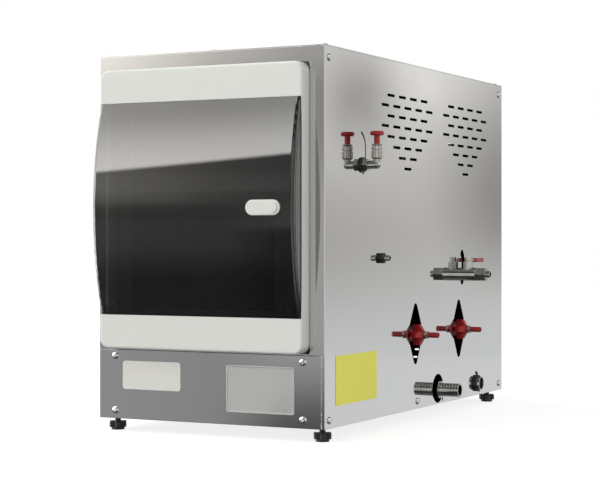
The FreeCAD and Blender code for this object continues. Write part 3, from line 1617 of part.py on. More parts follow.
def add_overflow_nozzle():
    x = half_width
    y = overflow_setback
    z = overflow_z
    outline = [
        (x - overflow_tail, 0), (x - overflow_tail, weir_radius),
        (x - overflow_tail + hose_overlap + 1, weir_radius),
        (x - overflow_tail + hose_overlap + 1, overflow_radius - thread_step),
        (x + overflow_nut_thick, overflow_radius - thread_step),
        (x + overflow_nut_thick, overflow_radius),
        (x + overflow_reach, overflow_radius), (x + overflow_reach, 0),
    ]
    tube = turned_x(y, z, outline)
    bores = [
        rod_x(y, z, weir_radius - arm_wall, x - overflow_tail - 1, x),
        rod_x(y, z, overflow_bore, x - sheet, x + overflow_reach + 1),
    ]
    parts["overflow_nozzle"] = [tube.cut(bores)]


def add_panel_nuts():
    """Plated lock nuts of the elbow and the taps, and the castle nuts of the knobs."""
    start = half_width + elbow_washer_thick
    nut = hex_x(elbow_setback, elbow_z, elbow_nut_flats, start, start + elbow_nut_thick)
    nuts = [nut.cut(rod_x(elbow_setback, elbow_z, elbow_radius + fit_gap, start - 1,
                          start + elbow_nut_thick + 1))]
    for y in tap_setbacks:
        nuts.append(castle_nut(y, half_width + knob_far + moving_gap))
        behind = inner_x - bracket_depth - sheet
        nut = hex_x(y, tap_z, collar_flats, behind - back_nut_thick, behind)
        nuts.append(nut.cut(rod_x(y, tap_z, tap_spout_radius - thread_step + fit_gap,
                                  behind - back_nut_thick - 1, behind + 1)))
    parts["panel_nuts"] = nuts


def add_black_nuts():
    """Black plastic nuts of the distillate and overflow nozzles."""
    x = half_width
    end = x + distillate_nut_thick
    nut = hex_x(distillate_setback, distillate_z, distillate_nut_flats, x, end)
    rim = [edge for edge in nut.Edges if edge.CenterOfMass.x > end - fit_gap]
    nut = nut.makeChamfer(distillate_nut_chamfer, rim)
    nut = nut.cut(rod_x(distillate_setback, distillate_z,
                        distillate_radius - thread_step + fit_gap, x - 1, end + 1))
    end = x + overflow_nut_thick
    ring = turned_x(overflow_setback, overflow_z, [
        (x, 0), (x, overflow_nut_radius), (end - overflow_nut_chamfer, overflow_nut_radius),
        (end, overflow_nut_radius - overflow_nut_chamfer), (end, 0),
    ])
    ring = ring.cut(rod_x(overflow_setback, overflow_z,
                          overflow_radius - thread_step + fit_gap, x - 1, end + 1))
    parts["black_nuts"] = [nut, ring]


def add_electrics():
    x = contactor_x
    y = contactor_setback
    half_x = contactor_length / 2
    half_y = contactor_width / 2
    body = box(x - half_x, x + half_x, y - half_y, y + half_y, tray_floor,
               tray_floor + contactor_height)
    step = contactor_height * 0.25
    shoulders = []
    for side in (-1, 1):
        x0, x1 = sorted((x + side * half_x, x + side * (half_x - half_x * 0.4)))
        shoulders.append(box(x0 - 1, x1 + 1, y - half_y - 1, y + half_y + 1,
                             tray_floor + contactor_height - step,
                             tray_floor + contactor_height + 1))
    parts["contactor"] = [body.cut(shoulders)]
    blocks = []
    for index in range(terminal_count):
        start = terminal_setback + index * terminal_pitch
        block = box(x - terminal_length / 2, x + terminal_length / 2, start,
                    start + terminal_pitch - 0.4, tray_floor, tray_floor + terminal_height)
        notch = terminal_length / 4
        for side in (-1, 1):
            x0, x1 = sorted((x + side * terminal_length / 2, x + side * notch))
            block = block.cut(box(x0 - 1, x1 + 1, start - 1, start + terminal_pitch,
                                  tray_floor + terminal_height * 0.7,
                                  tray_floor + terminal_height + 1))
        blocks.append(block)
    parts["terminal_blocks"] = blocks
    z = case_low + gland_height
    back = case_depth
    inner = back - sheet - fold / 2
    dome = Part.makeCone(gland_radius + 1, gland_bore + 3, gland_reach - 8,
                         FreeCAD.Vector(gland_x, back + 8, z), FreeCAD.Vector(0, 1, 0))
    head = hex_prism(gland_flats, 8)
    head = placed(head, (gland_x, back, z), (0, 1, 0))
    thread = rod_y(gland_x, z, gland_radius, inner, back)
    nut = placed(hex_prism(gland_flats, 5), (gland_x, back - sheet - 5, z), (0, 1, 0))
    bore = rod_y(gland_x, z, gland_bore, inner - 1, back + gland_reach + 1)
    parts["cable_gland"] = [joined([dome, head, thread, nut]).cut(bore)]
    leads = []
    for index, setback in enumerate(boiler_setbacks):
        start_x = x - half_x + half_x * (0.2 + 0.4 * index) / 2
        top = tray_floor + contactor_height - step
        head_x = boiler_left - boiler_neck_length - heater_head_length / 2
        head_low = boiler_z - heater_head_radius
        turn_z = top + 40 + 18 * index
        start_y = contactor_setback - 8 + 16 * index
        leads.append(pipe(((start_x, start_y, top), (start_x, start_y, turn_z),
                           (head_x, setback, turn_z + 14), (head_x, setback, head_low)),
                          lead_radius, hose_bend))
    parts["heater_leads"] = leads


def build():
    add_base_tray()
    add_front_frame()
    add_lower_plate()
    add_side_panels()
    add_back_panel()
    add_top_lid()
    add_screws("case_screws", all_screw_places())
    add_screws("cover_screws", cover_screw_places(), cover_screw_scale)
    add_bare_plates()
    add_feet()
    add_cover_frame()
    add_fascia()
    add_door()
    add_button()
    add_catch()
    add_rack()
    add_boilers()
    add_condensers()
    add_vessel()
    add_hoses()
    add_electrics()
    add_distillate_nozzle()
    add_elbow()
    add_valve()
    add_taps()
    add_drain_nozzle()
    add_overflow_nozzle()
    add_panel_nuts()
    add_black_nuts()


def overall_box():
    total = FreeCAD.BoundBox()
    for solids in parts.values():
        for solid in solids:
            total.add(solid.optimalBoundingBox(True, False))
    return total


def save():
    os.makedirs("parts", exist_ok=True)
    total = overall_box()
    shift = FreeCAD.Vector(-total.Center.x, -total.Center.y, -total.ZMin)
    for name, solids in parts.items():
        moved = []
        for solid in solids:
            copy = solid.copy()
            copy.translate(shift)
            moved.append(copy)
        shape = moved[0] if len(moved) == 1 else Part.makeCompound(moved)
        shape.exportStep("parts/" + name + ".step")
        bad = not shape.isValid()
        count = len(shape.Solids)
        if bad or count != len(solids):
            print("CHECK", name, "valid", not bad, "solids", count, "of", len(solids))
    print("nodes", len(parts), "size", round(total.XLength, 2), round(total.YLength, 2),
          round(total.ZLength, 2))
    print("shift", round(shift.x, 4), round(shift.y, 4), round(shift.z, 4))


build()
save()
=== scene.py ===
# %% [markdown]
# # A bench water still, dressed for its picture
#
# The real object is a cabinet of polished stainless sheet. A moulded white cover with an arched
# smoked door closes its front, and every water fitting stands out of its right side. The shapes
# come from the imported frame, so this lesson is about light and finishes: how a plain solid turns
# into sheet steel, moulded plastic, blown glass and plated brass.
#
# The first cell loads the frame.

import json
import math

import bpy
import mathutils
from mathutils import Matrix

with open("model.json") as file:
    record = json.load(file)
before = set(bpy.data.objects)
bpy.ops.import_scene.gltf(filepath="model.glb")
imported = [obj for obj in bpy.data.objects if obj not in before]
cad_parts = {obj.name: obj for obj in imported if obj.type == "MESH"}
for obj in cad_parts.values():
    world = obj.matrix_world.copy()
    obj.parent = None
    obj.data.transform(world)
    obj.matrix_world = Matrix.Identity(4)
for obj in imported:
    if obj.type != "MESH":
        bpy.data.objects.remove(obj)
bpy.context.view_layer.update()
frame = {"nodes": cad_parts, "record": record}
nodes = frame["nodes"]
slot_of = {row["node"]: row["material_slot"] for row in frame["record"]["subparts"]}
print("pieces in the frame:", len(nodes))

# %% [markdown]
# ## Where the case begins
#
# Sheet steel is polished on its outer side only. A finish can tell the two sides apart by place:
# what lies further in than the middle of the sheet is inside the case. The faces are measured
# from the frame's own panels, so they follow the model.

# %% Measure the case


def box_of(name):
    """Lowest and highest corner of a piece, in metres."""
    piece = nodes[name]
    corners = [piece.matrix_world @ mathutils.Vector(corner) for corner in piece.bound_box]
    low = [min(corner[axis] for corner in corners) for axis in range(3)]
    high = [max(corner[axis] for corner in corners) for axis in range(3)]
    return low, high


left_low, left_high = box_of("left_side_panel")
lid_low, lid_high = box_of("top_lid")
sheet = left_high[0] - left_low[0]
INNER_LOW = (lid_low[0] + sheet / 2, lid_low[1] + sheet / 2, left_low[2] + sheet / 2)
INNER_HIGH = (lid_high[0] - sheet / 2, lid_high[1] - sheet / 2, lid_high[2] - sheet / 2)
print("sheet in mm:", round(1000 * sheet, 2))
print("inner box in mm:", [round(1000 * value) for value in INNER_LOW + INNER_HIGH])

# %% [markdown]
# ## The camera
#
# The picture was taken from the front right, level with the middle of the case, with a long lens.
# A camera could be turned until the picture looks right. Here it is set from three measured
# facts instead: where it stands, the compass angle it looks along and how many pixels one unit
# of slope takes up, which gives the lens.

# %% Place the camera
IMAGE_WIDTH = 600
IMAGE_HEIGHT = 480
SENSOR_MM = 36.0
FOCAL_PIXELS = 1670.0
MIDDLE_ROW = 239.4
CAMERA_PLACE = (1.0988, -2.2640, 0.2648)
CAMERA_LEVEL = math.radians(90)
CAMERA_TURN = math.radians(26.87)

camera_data = bpy.data.cameras.new("camera")
camera_data.sensor_width = SENSOR_MM
camera_data.lens = FOCAL_PIXELS * SENSOR_MM / IMAGE_WIDTH
camera_data.shift_y = (MIDDLE_ROW - IMAGE_HEIGHT / 2) / IMAGE_WIDTH
camera = bpy.data.objects.new("camera", camera_data)
camera.location = CAMERA_PLACE
camera.rotation_euler = (CAMERA_LEVEL, 0, CAMERA_TURN)
bpy.context.scene.collection.objects.link(camera)
bpy.context.scene.camera = camera
bpy.context.scene.view_settings.view_transform = "Standard"
print("lens in mm:", round(camera_data.lens, 1))

# %% [markdown]
# ## Small helpers for shader nodes
#
# A material is a graph of nodes. Adding each node by hand takes three lines, so these helpers
# make a node, set its sockets and join it in one call. A value that is a socket is linked, and
# any other value is set. Some nodes have several sockets of one name. Those are called by their
# number, such as i0 for the first input.

# %% Node helpers


def feed(tree, node, name, value):
    """Links a socket to an input of a node, or sets the input to a plain value."""
    numbered = name[0] == "i" and name[1:].isdigit()
    socket = node.inputs[int(name[1:]) if numbered else name]
    if isinstance(value, bpy.types.NodeSocket):
        tree.links.new(value, socket)
    else:
        socket.default_value = value


def put(tree, kind, _out=0, **inputs):
    """Adds a node. Names ending in _ set a property of the node, other names an input."""
    node = tree.nodes.new("ShaderNode" + kind)
    for name, value in inputs.items():
        if name.endswith("_"):
            setattr(node, name[:-1], value)
    for name, value in inputs.items():
        if not name.endswith("_"):
            feed(tree, node, name.replace("_", " "), value)
    return node.outputs[_out]


def sum_up(tree, operation, first, second=0.0, third=0.0):
    """Arithmetic on up to three values."""
    return put(tree, "Math", operation_=operation, i0=first, i1=second, i2=third)


def times(tree, first, second):
    """The product of two values."""
    return sum_up(tree, "MULTIPLY", first, second)


def likeness(tree, first, second):
    """The dot product of two directions: 1 where they are the same, -1 where they are opposite."""
    return put(tree, "VectorMath", "Value", operation_="DOT_PRODUCT", i0=first, i1=second)


def fade(tree, value, low, high, to_low=0.0, to_high=1.0):
    """A smooth step from to_low to to_high as value goes from low to high."""
    limits = {"From_Min": low, "From_Max": high, "To_Min": to_low, "To_Max": to_high}
    return put(tree, "MapRange", interpolation_type_="SMOOTHSTEP", Value=value, **limits)


print("helpers:", [helper.__name__ for helper in (feed, put, sum_up, times, likeness, fade)])

# %% [markdown]
# ## Helpers for colours, groups and materials
#
# A Mix node carries sockets for numbers, vectors and colours at once, so the places of its colour
# sockets get names here. A shader node group is a graph with its own named inputs. A material
# starts from one Principled BSDF, which stays in the material, while groups only hand over
# colours, masks, numbers and normals.

# %% Colour, group and material helpers
MIX_SHARE = "i0"
MIX_FIRST_COLOUR = "i6"
MIX_SECOND_COLOUR = "i7"
MIXED_COLOUR = 2
WHITE = (1.0, 1.0, 1.0, 1.0)


def opaque(colour, factor=1.0, lift=0.0):
    """A colour with full alpha, made darker or paler by a factor and a lift."""
    return tuple(min(1.0, factor * part + lift) for part in colour) + (1.0,)


def blend_colours(tree, share, first, second):
    """The first colour where the share is 0, the second where it is 1."""
    sockets = {MIX_SHARE: share, MIX_FIRST_COLOUR: first, MIX_SECOND_COLOUR: second}
    return put(tree, "Mix", MIXED_COLOUR, data_type_="RGBA", **sockets)


def group(name, inputs, outputs):
    """A shader node group with named float inputs and typed outputs. Returns its tree and ends."""
    tree = bpy.data.node_groups.new(name, "ShaderNodeTree")
    for title, start in inputs.items():
        socket = tree.interface.new_socket(
            name=title, in_out="INPUT", socket_type="NodeSocketFloat")
        socket.default_value = start
    for title, kind in outputs.items():
        tree.interface.new_socket(name=title, in_out="OUTPUT", socket_type="NodeSocket" + kind)
    return tree, tree.nodes.new("NodeGroupInput").outputs, tree.nodes.new("NodeGroupOutput")


def place_group(tree, shared, **inputs):
    """Places a shared group in a tree and returns its outputs."""
    node = tree.nodes.new("ShaderNodeGroup")
    node.node_tree = shared
    for name, value in inputs.items():
        feed(tree, node, name.replace("_", " "), value)
    return node.outputs


def finish_of(name, **sockets):
    """A new material. Names are Principled BSDF sockets with _ for a space."""
    material = bpy.data.materials.new(name)
    material.use_nodes = True
    tree = material.node_tree
    surface = tree.nodes["Principled BSDF"]
    for socket, value in sockets.items():
        feed(tree, surface, socket.replace("_", " "), value)
    return material, tree, surface


print("a colour with full alpha:", opaque((0.5, 0.5, 0.5)))

# %% [markdown]
# ## Lines of the polishing belt
#
# Brushed sheet, moulded grain, smudges and painted edge highlights come back in many materials.
# They could be copied into each one. A shader node group is built once and placed wherever it
# is needed, with its own numbers each time.
#
# A polishing belt leaves fine lines along the sheet. A picture of brushed metal could be wrapped
# round the case. Noise that is stretched in one direction gives lines at any distance instead:
# squeezed across the lines and drawn out along them.

# %% Shared effect: fine lines left by the polishing belt


def build_belt_lines():
    inputs = {"Along": 0.5, "Across": 260.0, "Depth": 1.0}
    tree, given, result = group("belt_lines", inputs, {"Height": "Float", "Tone": "Float"})
    place = put(tree, "TexCoord", "Object")
    stretch = put(tree, "CombineXYZ", X=given["Across"], Y=given["Across"], Z=given["Along"])
    mapped = put(tree, "VectorMath", operation_="MULTIPLY", i0=place, i1=stretch)
    lines = put(tree, "TexNoise", Vector=mapped, Scale=1.0, Detail=4.0, Roughness=0.6)
    tree.links.new(times(tree, lines, given["Depth"]), result.inputs["Height"])
    tree.links.new(lines, result.inputs["Tone"])
    return tree


belt_lines = build_belt_lines()
print("belt lines, nodes:", len(belt_lines.nodes))

# %% [markdown]
# ## Smudges
#
# Hands and cloths leave patches where a surface is a little duller. One roughness for the whole
# piece would look like computer plastic. Clouds of noise choose between a smooth and a hazy
# value, and the mask is handed over too, so that a finish can change its colour there.

# %% Shared effect: smudges and handling
SMUDGE_EDGE = (0.38, 0.66)


def build_smudges():
    inputs = {"Size": 9.0, "Low": 0.1, "High": 0.2}
    tree, given, result = group("smudges", inputs, {"Roughness": "Float", "Mask": "Float"})
    place = put(tree, "TexCoord", "Object")
    clouds = put(tree, "TexNoise", Vector=place, Scale=given["Size"], Detail=5.0, Roughness=0.62)
    mask = fade(tree, clouds, *SMUDGE_EDGE)
    spread = sum_up(tree, "SUBTRACT", given["High"], given["Low"])
    rough = sum_up(tree, "MULTIPLY_ADD", mask, spread, given["Low"])
    tree.links.new(rough, result.inputs["Roughness"])
    tree.links.new(mask, result.inputs["Mask"])
    return tree


smudges = build_smudges()
print("smudges, nodes:", len(smudges.nodes))

# %% [markdown]
# ## Grain
#
# A mould is never quite smooth, and neither is cast or plated metal. Fine noise gives the height
# of the grain. Its tone adds slow patches to the fine ones, because a moulded colour also wanders
# over the length of a piece.

# %% Shared effect: the fine grain of a moulded or cast skin
FINE_SHARE = 0.3
COARSE_SHARE = 0.7


def build_grain():
    tree, given, result = group("grain", {"Size": 900.0}, {"Height": "Float", "Tone": "Float"})
    place = put(tree, "TexCoord", "Object")
    fine = put(tree, "TexNoise", Vector=place, Scale=given["Size"], Detail=3.0, Roughness=0.7)
    coarse = put(tree, "TexNoise", Vector=place, Scale=14.0, Detail=2.0)
    slow = times(tree, coarse, COARSE_SHARE)
    tree.links.new(fine, result.inputs["Height"])
    tree.links.new(sum_up(tree, "MULTIPLY_ADD", fine, FINE_SHARE, slow), result.inputs["Tone"])
    return tree


grain = build_grain()
print("grain, nodes:", len(grain.nodes))

# %% [markdown]
# ## Inside the case
#
# The inner side of the sheet is dull, and the steels paint it dark there as painted shade. It
# could be given a material of its own, face by face. A mask does it by place: it is 1 where a
# point lies further in than all six faces of the case, and the step between the two lies in the
# middle of the sheet, where nobody sees it.

# %% Shared effect: where a surface lies inside the case
STEP_WIDTH = 0.0002


def build_inside():
    tree, given, result = group("inside_the_case", {"Softness": STEP_WIDTH}, {"Mask": "Float"})
    place = put(tree, "TexCoord", "Object")
    mask = 1.0
    for axis, title in enumerate("XYZ"):
        here = put(tree, "SeparateXYZ", title, Vector=place)
        for edge, way in ((INNER_LOW[axis], 1.0), (INNER_HIGH[axis], -1.0)):
            depth = sum_up(tree, "MULTIPLY_ADD", here, way, -way * edge)
            step = sum_up(tree, "DIVIDE", depth, given["Softness"])
            mask = times(tree, put(tree, "Clamp", Value=step), mask)
    tree.links.new(mask, result.inputs["Mask"])
    return tree


inside_the_case = build_inside()
print("inside the case, nodes:", len(inside_the_case.nodes))

# %% [markdown]
# ## Painted edge highlights
#
# Edges are painted lighter as a painted highlight: metal brighter and plastic paler. The edges
# could be cut as real bevels. Here a bevel node softens the normal at every edge. Where that
# normal turns away from the true one there is an edge, and noise breaks the mask into stronger and
# fainter patches of painted highlight.

# %% Shared effect: a painted highlight along edges
EDGE_TURN = (0.995, 0.9)
HIGHLIGHT_PATCHES = (0.35, 0.6, 0.35, 1.0)


def build_painted_edge_highlight():
    inputs = {"Width": 0.0008, "Amount": 1.0}
    tree, given, result = group("painted_edge_highlight", inputs, {"Mask": "Float", "Normal": "Vector"})
    bevel = put(tree, "Bevel", samples_=6, Radius=given["Width"])
    flat = put(tree, "NewGeometry", "Normal")
    place = put(tree, "TexCoord", "Object")
    patches = put(tree, "TexNoise", Vector=place, Scale=160.0, Detail=3.0)
    turned = fade(tree, likeness(tree, bevel, flat), *EDGE_TURN)
    # Painted highlight: this mask marks the edges whose colour is painted lighter.
    highlit_edge = times(tree, turned, fade(tree, patches, *HIGHLIGHT_PATCHES))
    tree.links.new(times(tree, highlit_edge, given["Amount"]), result.inputs["Mask"])
    tree.links.new(bevel, result.inputs["Normal"])
    return tree


painted_edge_highlight = build_painted_edge_highlight()
print("shared effects:", [tree.name for tree in bpy.data.node_groups])

# %% [markdown]
# ## Polished and brushed steel
#
# The case is mirror-polished stainless. A perfect mirror looks like computer metal, so three
# things break it up: lines of the polishing belt, a slow waviness of thin sheet between its
# folds, and smudges that blur the mirror here and there. Inside the case the sheet is raw and
# dull, and its colour is painted dark there as painted shade, paler for the brushed sheet than for
# the polished one. Edges get a painted highlight.

# %% Steel finishes
RAW_BLUR = 0.42
RAW_BLUR_SPREAD = 0.15
LINE_SHADE = 0.3
DULL = 0.9
EDGE_HIGHLIGHT = 1.12


def steel(name, colour, smooth, hazy, line_depth, wave_depth, painted_inner_shade):
    material, tree, surface = finish_of(name, Metallic=1.0)
    edge = place_group(tree, painted_edge_highlight, Width=0.0005, Amount=1.0)
    blur = place_group(tree, smudges, Size=6.0, Low=smooth, High=hazy)
    lines = place_group(tree, belt_lines, Along=0.5, Across=260.0, Depth=line_depth)
    inside = place_group(tree, inside_the_case, Softness=STEP_WIDTH)["Mask"]
    place = put(tree, "TexCoord", "Object")
    wave = put(tree, "TexNoise", Vector=place, Scale=3.2, Detail=1.0)
    fine = put(tree, "Bump", Height=lines["Height"], Normal=edge["Normal"],
               Strength=0.06, Distance=0.0002)
    waved = put(tree, "Bump", Height=wave, Normal=fine, Strength=wave_depth, Distance=0.01)
    shade = times(tree, lines["Tone"], LINE_SHADE)
    base = blend_colours(tree, shade, opaque(colour), opaque(colour, DULL))
    # Painted highlight: the edges are painted brighter than the sheet.
    outer = blend_colours(tree, edge["Mask"], base, opaque(colour, EDGE_HIGHLIGHT))
    inner_blur = sum_up(tree, "MULTIPLY_ADD", lines["Tone"], RAW_BLUR_SPREAD, RAW_BLUR)
    rough = put(tree, "Mix", Factor=inside, A=blur["Roughness"], B=inner_blur)
    # Painted shade: inside the case the colour turns dark.
    feed(tree, surface, "Base Color", blend_colours(tree, inside, outer, opaque(painted_inner_shade)))
    feed(tree, surface, "Roughness", rough)
    feed(tree, surface, "Normal", waved)
    return material


# The inner colour of each steel is painted shade for the inside of the case.
STEELS = {
    "polished_steel": dict(colour=(0.655, 0.65, 0.64), smooth=0.03, hazy=0.07,
                           line_depth=0.5, wave_depth=0.02, painted_inner_shade=(0.06, 0.06, 0.057)),
    "brushed_steel": dict(colour=(0.50, 0.505, 0.495), smooth=0.38, hazy=0.5,
                          line_depth=1.6, wave_depth=0.01, painted_inner_shade=(0.16, 0.16, 0.155)),
    "screw_steel": dict(colour=(0.72, 0.72, 0.71), smooth=0.08, hazy=0.16,
                        line_depth=0.6, wave_depth=0.0, painted_inner_shade=(0.06, 0.06, 0.057)),
}
finishes = {title: steel(title, **numbers) for title, numbers in STEELS.items()}
print("steels:", list(finishes))

# %% [markdown]
# ## Plated brass
#
# Elbow, valve and nozzles are nickel plated: warmer and darker than the sheet, with the turning
# marks still faintly there and a painted highlight along their edges.

# %% Nickel finish
PLATING = (0.47, 0.465, 0.43)
TARNISH = (0.38, 0.375, 0.34)
PLATING_HIGHLIGHT = (0.85, 0.84, 0.80)


def nickel(name):
    material, tree, surface = finish_of(name, Metallic=1.0)
    edge = place_group(tree, painted_edge_highlight, Width=0.0004, Amount=1.0)
    blur = place_group(tree, smudges, Size=60.0, Low=0.10, High=0.2)
    marks = place_group(tree, grain, Size=700.0)
    base = blend_colours(tree, blur["Mask"], opaque(PLATING), opaque(TARNISH))
    rough = put(tree, "Bump", Height=marks["Height"], Normal=edge["Normal"],
                Strength=0.1, Distance=0.0002)
    # Painted highlight: the edges are painted pale.
    colour = blend_colours(tree, edge["Mask"], base, opaque(PLATING_HIGHLIGHT))
    feed(tree, surface, "Base Color", colour)
    feed(tree, surface, "Roughness", blur["Roughness"])
    feed(tree, surface, "Normal", rough)
    return material


finishes["nickel"] = nickel("nickel")
print("plating:", PLATING)

# %% [markdown]
# ## Moulded plastics and rubber
#
# Every moulded piece has a faint grain, a tone that wanders a little, edges painted paler as a
# painted highlight and a roughness that changes where it is handled. One function makes them all,
# with different numbers for a glossy cover, a matt fascia, red knobs and black feet.

# %% Plastic finishes
# Lift of the painted edge highlight.
HIGHLIGHT_LIFT = 0.01


def plastic(name, colour, smooth, hazy, grain_depth=0.12, wander=0.9, highlight_gain=1.08, soft_edge=0.0006):
    material, tree, surface = finish_of(name, IOR=1.49)
    edge = place_group(tree, painted_edge_highlight, Width=soft_edge, Amount=0.6)
    blur = place_group(tree, smudges, Size=22.0, Low=smooth, High=hazy)
    skin = place_group(tree, grain, Size=900.0)
    base = blend_colours(tree, skin["Tone"], opaque(colour), opaque(colour, wander))
    # Painted highlight: the colour at the edges, paler than the plastic.
    highlight_colour = opaque(colour, highlight_gain, HIGHLIGHT_LIFT)
    bump = put(tree, "Bump", Height=skin["Height"], Normal=edge["Normal"],
               Strength=grain_depth, Distance=0.0003)
    feed(tree, surface, "Base Color", blend_colours(tree, edge["Mask"], base, highlight_colour))
    feed(tree, surface, "Roughness", blur["Roughness"])
    feed(tree, surface, "Normal", bump)
    return material


PLASTICS = {
    "white_cover": dict(colour=(0.735, 0.77, 0.74), smooth=0.30, hazy=0.40, wander=0.98,
                        soft_edge=0.0012, grain_depth=0.05),
    "grey_fascia": dict(colour=(0.55, 0.56, 0.52), smooth=0.45, hazy=0.6, wander=0.94),
    "black_plastic": dict(colour=(0.018, 0.018, 0.019), smooth=0.35, hazy=0.55,
                          grain_depth=0.3, highlight_gain=2.5),
    "red_plastic": dict(colour=(0.50, 0.016, 0.018), smooth=0.26, hazy=0.4, wander=0.82, highlight_gain=1.5),
    "float_white": dict(colour=(0.85, 0.85, 0.83), smooth=0.4, hazy=0.5),
    "silicone": dict(colour=(0.26, 0.26, 0.24), smooth=0.35, hazy=0.5),
    "dark_electric": dict(colour=(0.05, 0.05, 0.055), smooth=0.4, hazy=0.55, highlight_gain=2.0),
    "grey_electric": dict(colour=(0.42, 0.43, 0.44), smooth=0.4, hazy=0.55),
    "lead_sheath": dict(colour=(0.30, 0.04, 0.03), smooth=0.45, hazy=0.6),
    "collet_grey": dict(colour=(0.33, 0.335, 0.335), smooth=0.35, hazy=0.5),
}
for title, numbers in PLASTICS.items():
    finishes[title] = plastic(title, **numbers)
print("plastics:", list(PLASTICS))

# %% [markdown]
# ## Bare label fields
#
# The label fields are plain film on the sheet. A flat colour would do from far away. A thin
# smooth skin with slight unevenness from the glue below it also looks right from close by.

# %% Label finishes


def film(name, colour, tint):
    material, tree, surface = finish_of(name, IOR=1.5)
    blur = place_group(tree, smudges, Size=40.0, Low=0.3, High=0.42)
    glue = place_group(tree, grain, Size=120.0)
    uneven = put(tree, "Bump", Height=glue["Height"], Strength=0.03, Distance=0.0003)
    patchy = blend_colours(tree, glue["Tone"], opaque(colour), opaque(tint))
    feed(tree, surface, "Base Color", patchy)
    feed(tree, surface, "Roughness", blur["Roughness"])
    feed(tree, surface, "Normal", uneven)
    return material


finishes["label_white"] = film("label_white", (0.76, 0.77, 0.74), (0.72, 0.73, 0.70))
finishes["label_yellow"] = film("label_yellow", (1.0, 0.99, 0.11), (1.0, 0.96, 0.09))
print("label fields: white and yellow")

# %% [markdown]
# ## Glass
#
# Three clear materials differ in how much light they swallow. The door is smoked plastic, the
# vessels are blown borosilicate glass and the heaters are quartz with a milky core. A clear
# material keeps its transmission a plain number, and only its roughness and tint change. The
# door's hard skin mirrors more than the plastic below it, so it gets a coat.

# %% Clear finishes


def clear(name, colour, tint, smooth, hazy, ior, coat=0.0):
    material, tree, surface = finish_of(name, IOR=ior, Transmission_Weight=1.0,
                                        Coat_Weight=coat, Coat_Roughness=0.0)
    blur = place_group(tree, smudges, Size=18.0, Low=smooth, High=hazy)
    skin = place_group(tree, grain, Size=30.0)
    uneven = put(tree, "Bump", Height=skin["Height"], Strength=0.004, Distance=0.0005)
    patchy = blend_colours(tree, blur["Mask"], opaque(colour), opaque(tint))
    feed(tree, surface, "Base Color", patchy)
    feed(tree, surface, "Roughness", blur["Roughness"])
    feed(tree, surface, "Normal", uneven)
    return material


CLEARS = {
    "smoked_clear": dict(colour=(0.17, 0.175, 0.17), tint=(0.16, 0.165, 0.16),
                         smooth=0.0, hazy=0.015, ior=1.49, coat=0.82),
    "clear_glass": dict(colour=(0.93, 0.97, 0.95), tint=(0.88, 0.93, 0.91),
                        smooth=0.0, hazy=0.03, ior=1.47),
    "heater_quartz": dict(colour=(0.82, 0.82, 0.80), tint=(0.70, 0.70, 0.68),
                          smooth=0.15, hazy=0.35, ior=1.46),
}
for title, numbers in CLEARS.items():
    finishes[title] = clear(title, **numbers)
print("clear materials:", list(CLEARS))

# %% [markdown]
# ## Dressing the pieces
#
# Each piece carries slots for its materials, and the frame's record says which kind of material
# a piece is made of. Choosing by hand would go wrong when a piece is added, so the finish is
# looked up by that kind.

# %% Give each piece its finish
for name, piece in nodes.items():
    for place in piece.material_slots:
        place.material = finishes[slot_of[name]]
print("finishes:", len(finishes))

# %% [markdown]
# ## The floor
#
# The still stands on white paper that has no visible edge. A lit floor would need strong lamps to
# come out white in the picture. This one shines by itself, but only for the camera, so it adds
# no light to the scene and doesn't show in the polished sheets.

# %% Floor
FLOOR_REACH = 6.0
FLOOR_GLOW = 0.8
FLOOR_GREY = (0.34, 0.34, 0.34)
FLOOR_SHADE = (0.32, 0.32, 0.32)

bpy.ops.mesh.primitive_plane_add(size=2 * FLOOR_REACH, location=(0, 0, 0))
floor = bpy.context.object
floor.name = "floor"
floor_material, tree, surface = finish_of("floor_paper", Roughness=0.9, Specular_IOR_Level=0.1)
paper = place_group(tree, grain, Size=500.0)
paper_colour = blend_colours(tree, paper["Tone"], opaque(FLOOR_GREY), opaque(FLOOR_SHADE))
camera_glow = times(tree, put(tree, "LightPath", "Is Camera Ray"), FLOOR_GLOW)
feed(tree, surface, "Base Color", paper_colour)
feed(tree, surface, "Emission Color", WHITE)
feed(tree, surface, "Emission Strength", camera_glow)
floor.data.materials.append(floor_material)
floor.visible_glossy = False
print("floor reaches in m:", FLOOR_REACH)

# %% [markdown]
# ## Light painted by direction
#
# The picture is a product shot on white. A mirror shows its surroundings, so the steel needs a
# studio to show. Lamps and boards could stand round the still. Here one world shader paints them
# by direction, which keeps the floor clear. A direction is given by its parts: across is its part
# to the right of the still and up is its part upward, both from -1 to 1.
#
# The first tool is a soft board: an ellipse round one direction that is brightest in its middle
# and fades out to its rim. With a negative amount it takes light away.

# %% Shared effect: a soft board that stands in one direction


def from_middle(tree, here, middle, half):
    """Distance from the middle, counted in half sizes."""
    return sum_up(tree, "DIVIDE", sum_up(tree, "SUBTRACT", here, middle), half)


def build_soft_board():
    inputs = {"Across": 0.0, "Up": 0.0, "Middle": 0.0, "Level": 0.0,
              "Half Width": 0.1, "Half Height": 0.1, "Amount": 1.0}
    tree, given, result = group("soft_board", inputs, {"Light": "Float"})
    aside = from_middle(tree, given["Across"], given["Middle"], given["Half Width"])
    above = from_middle(tree, given["Up"], given["Level"], given["Half Height"])
    square = sum_up(tree, "MULTIPLY_ADD", aside, aside, times(tree, above, above))
    strength = fade(tree, sum_up(tree, "SQRT", square), 0.0, 1.0, 1.0, 0.0)
    tree.links.new(times(tree, strength, given["Amount"]), result.inputs["Light"])
    return tree


soft_board = build_soft_board()
print("soft board, nodes:", len(soft_board.nodes))

# %% [markdown]
# ## Paper behind the still
#
# The long side panel mirrors what stands behind the still: grey paper with softer and darker
# patches. Each patch is a soft board. Every pair or four of numbers below is one fade: where it
# starts, where it ends and, if they aren't 0 and 1, the values there.

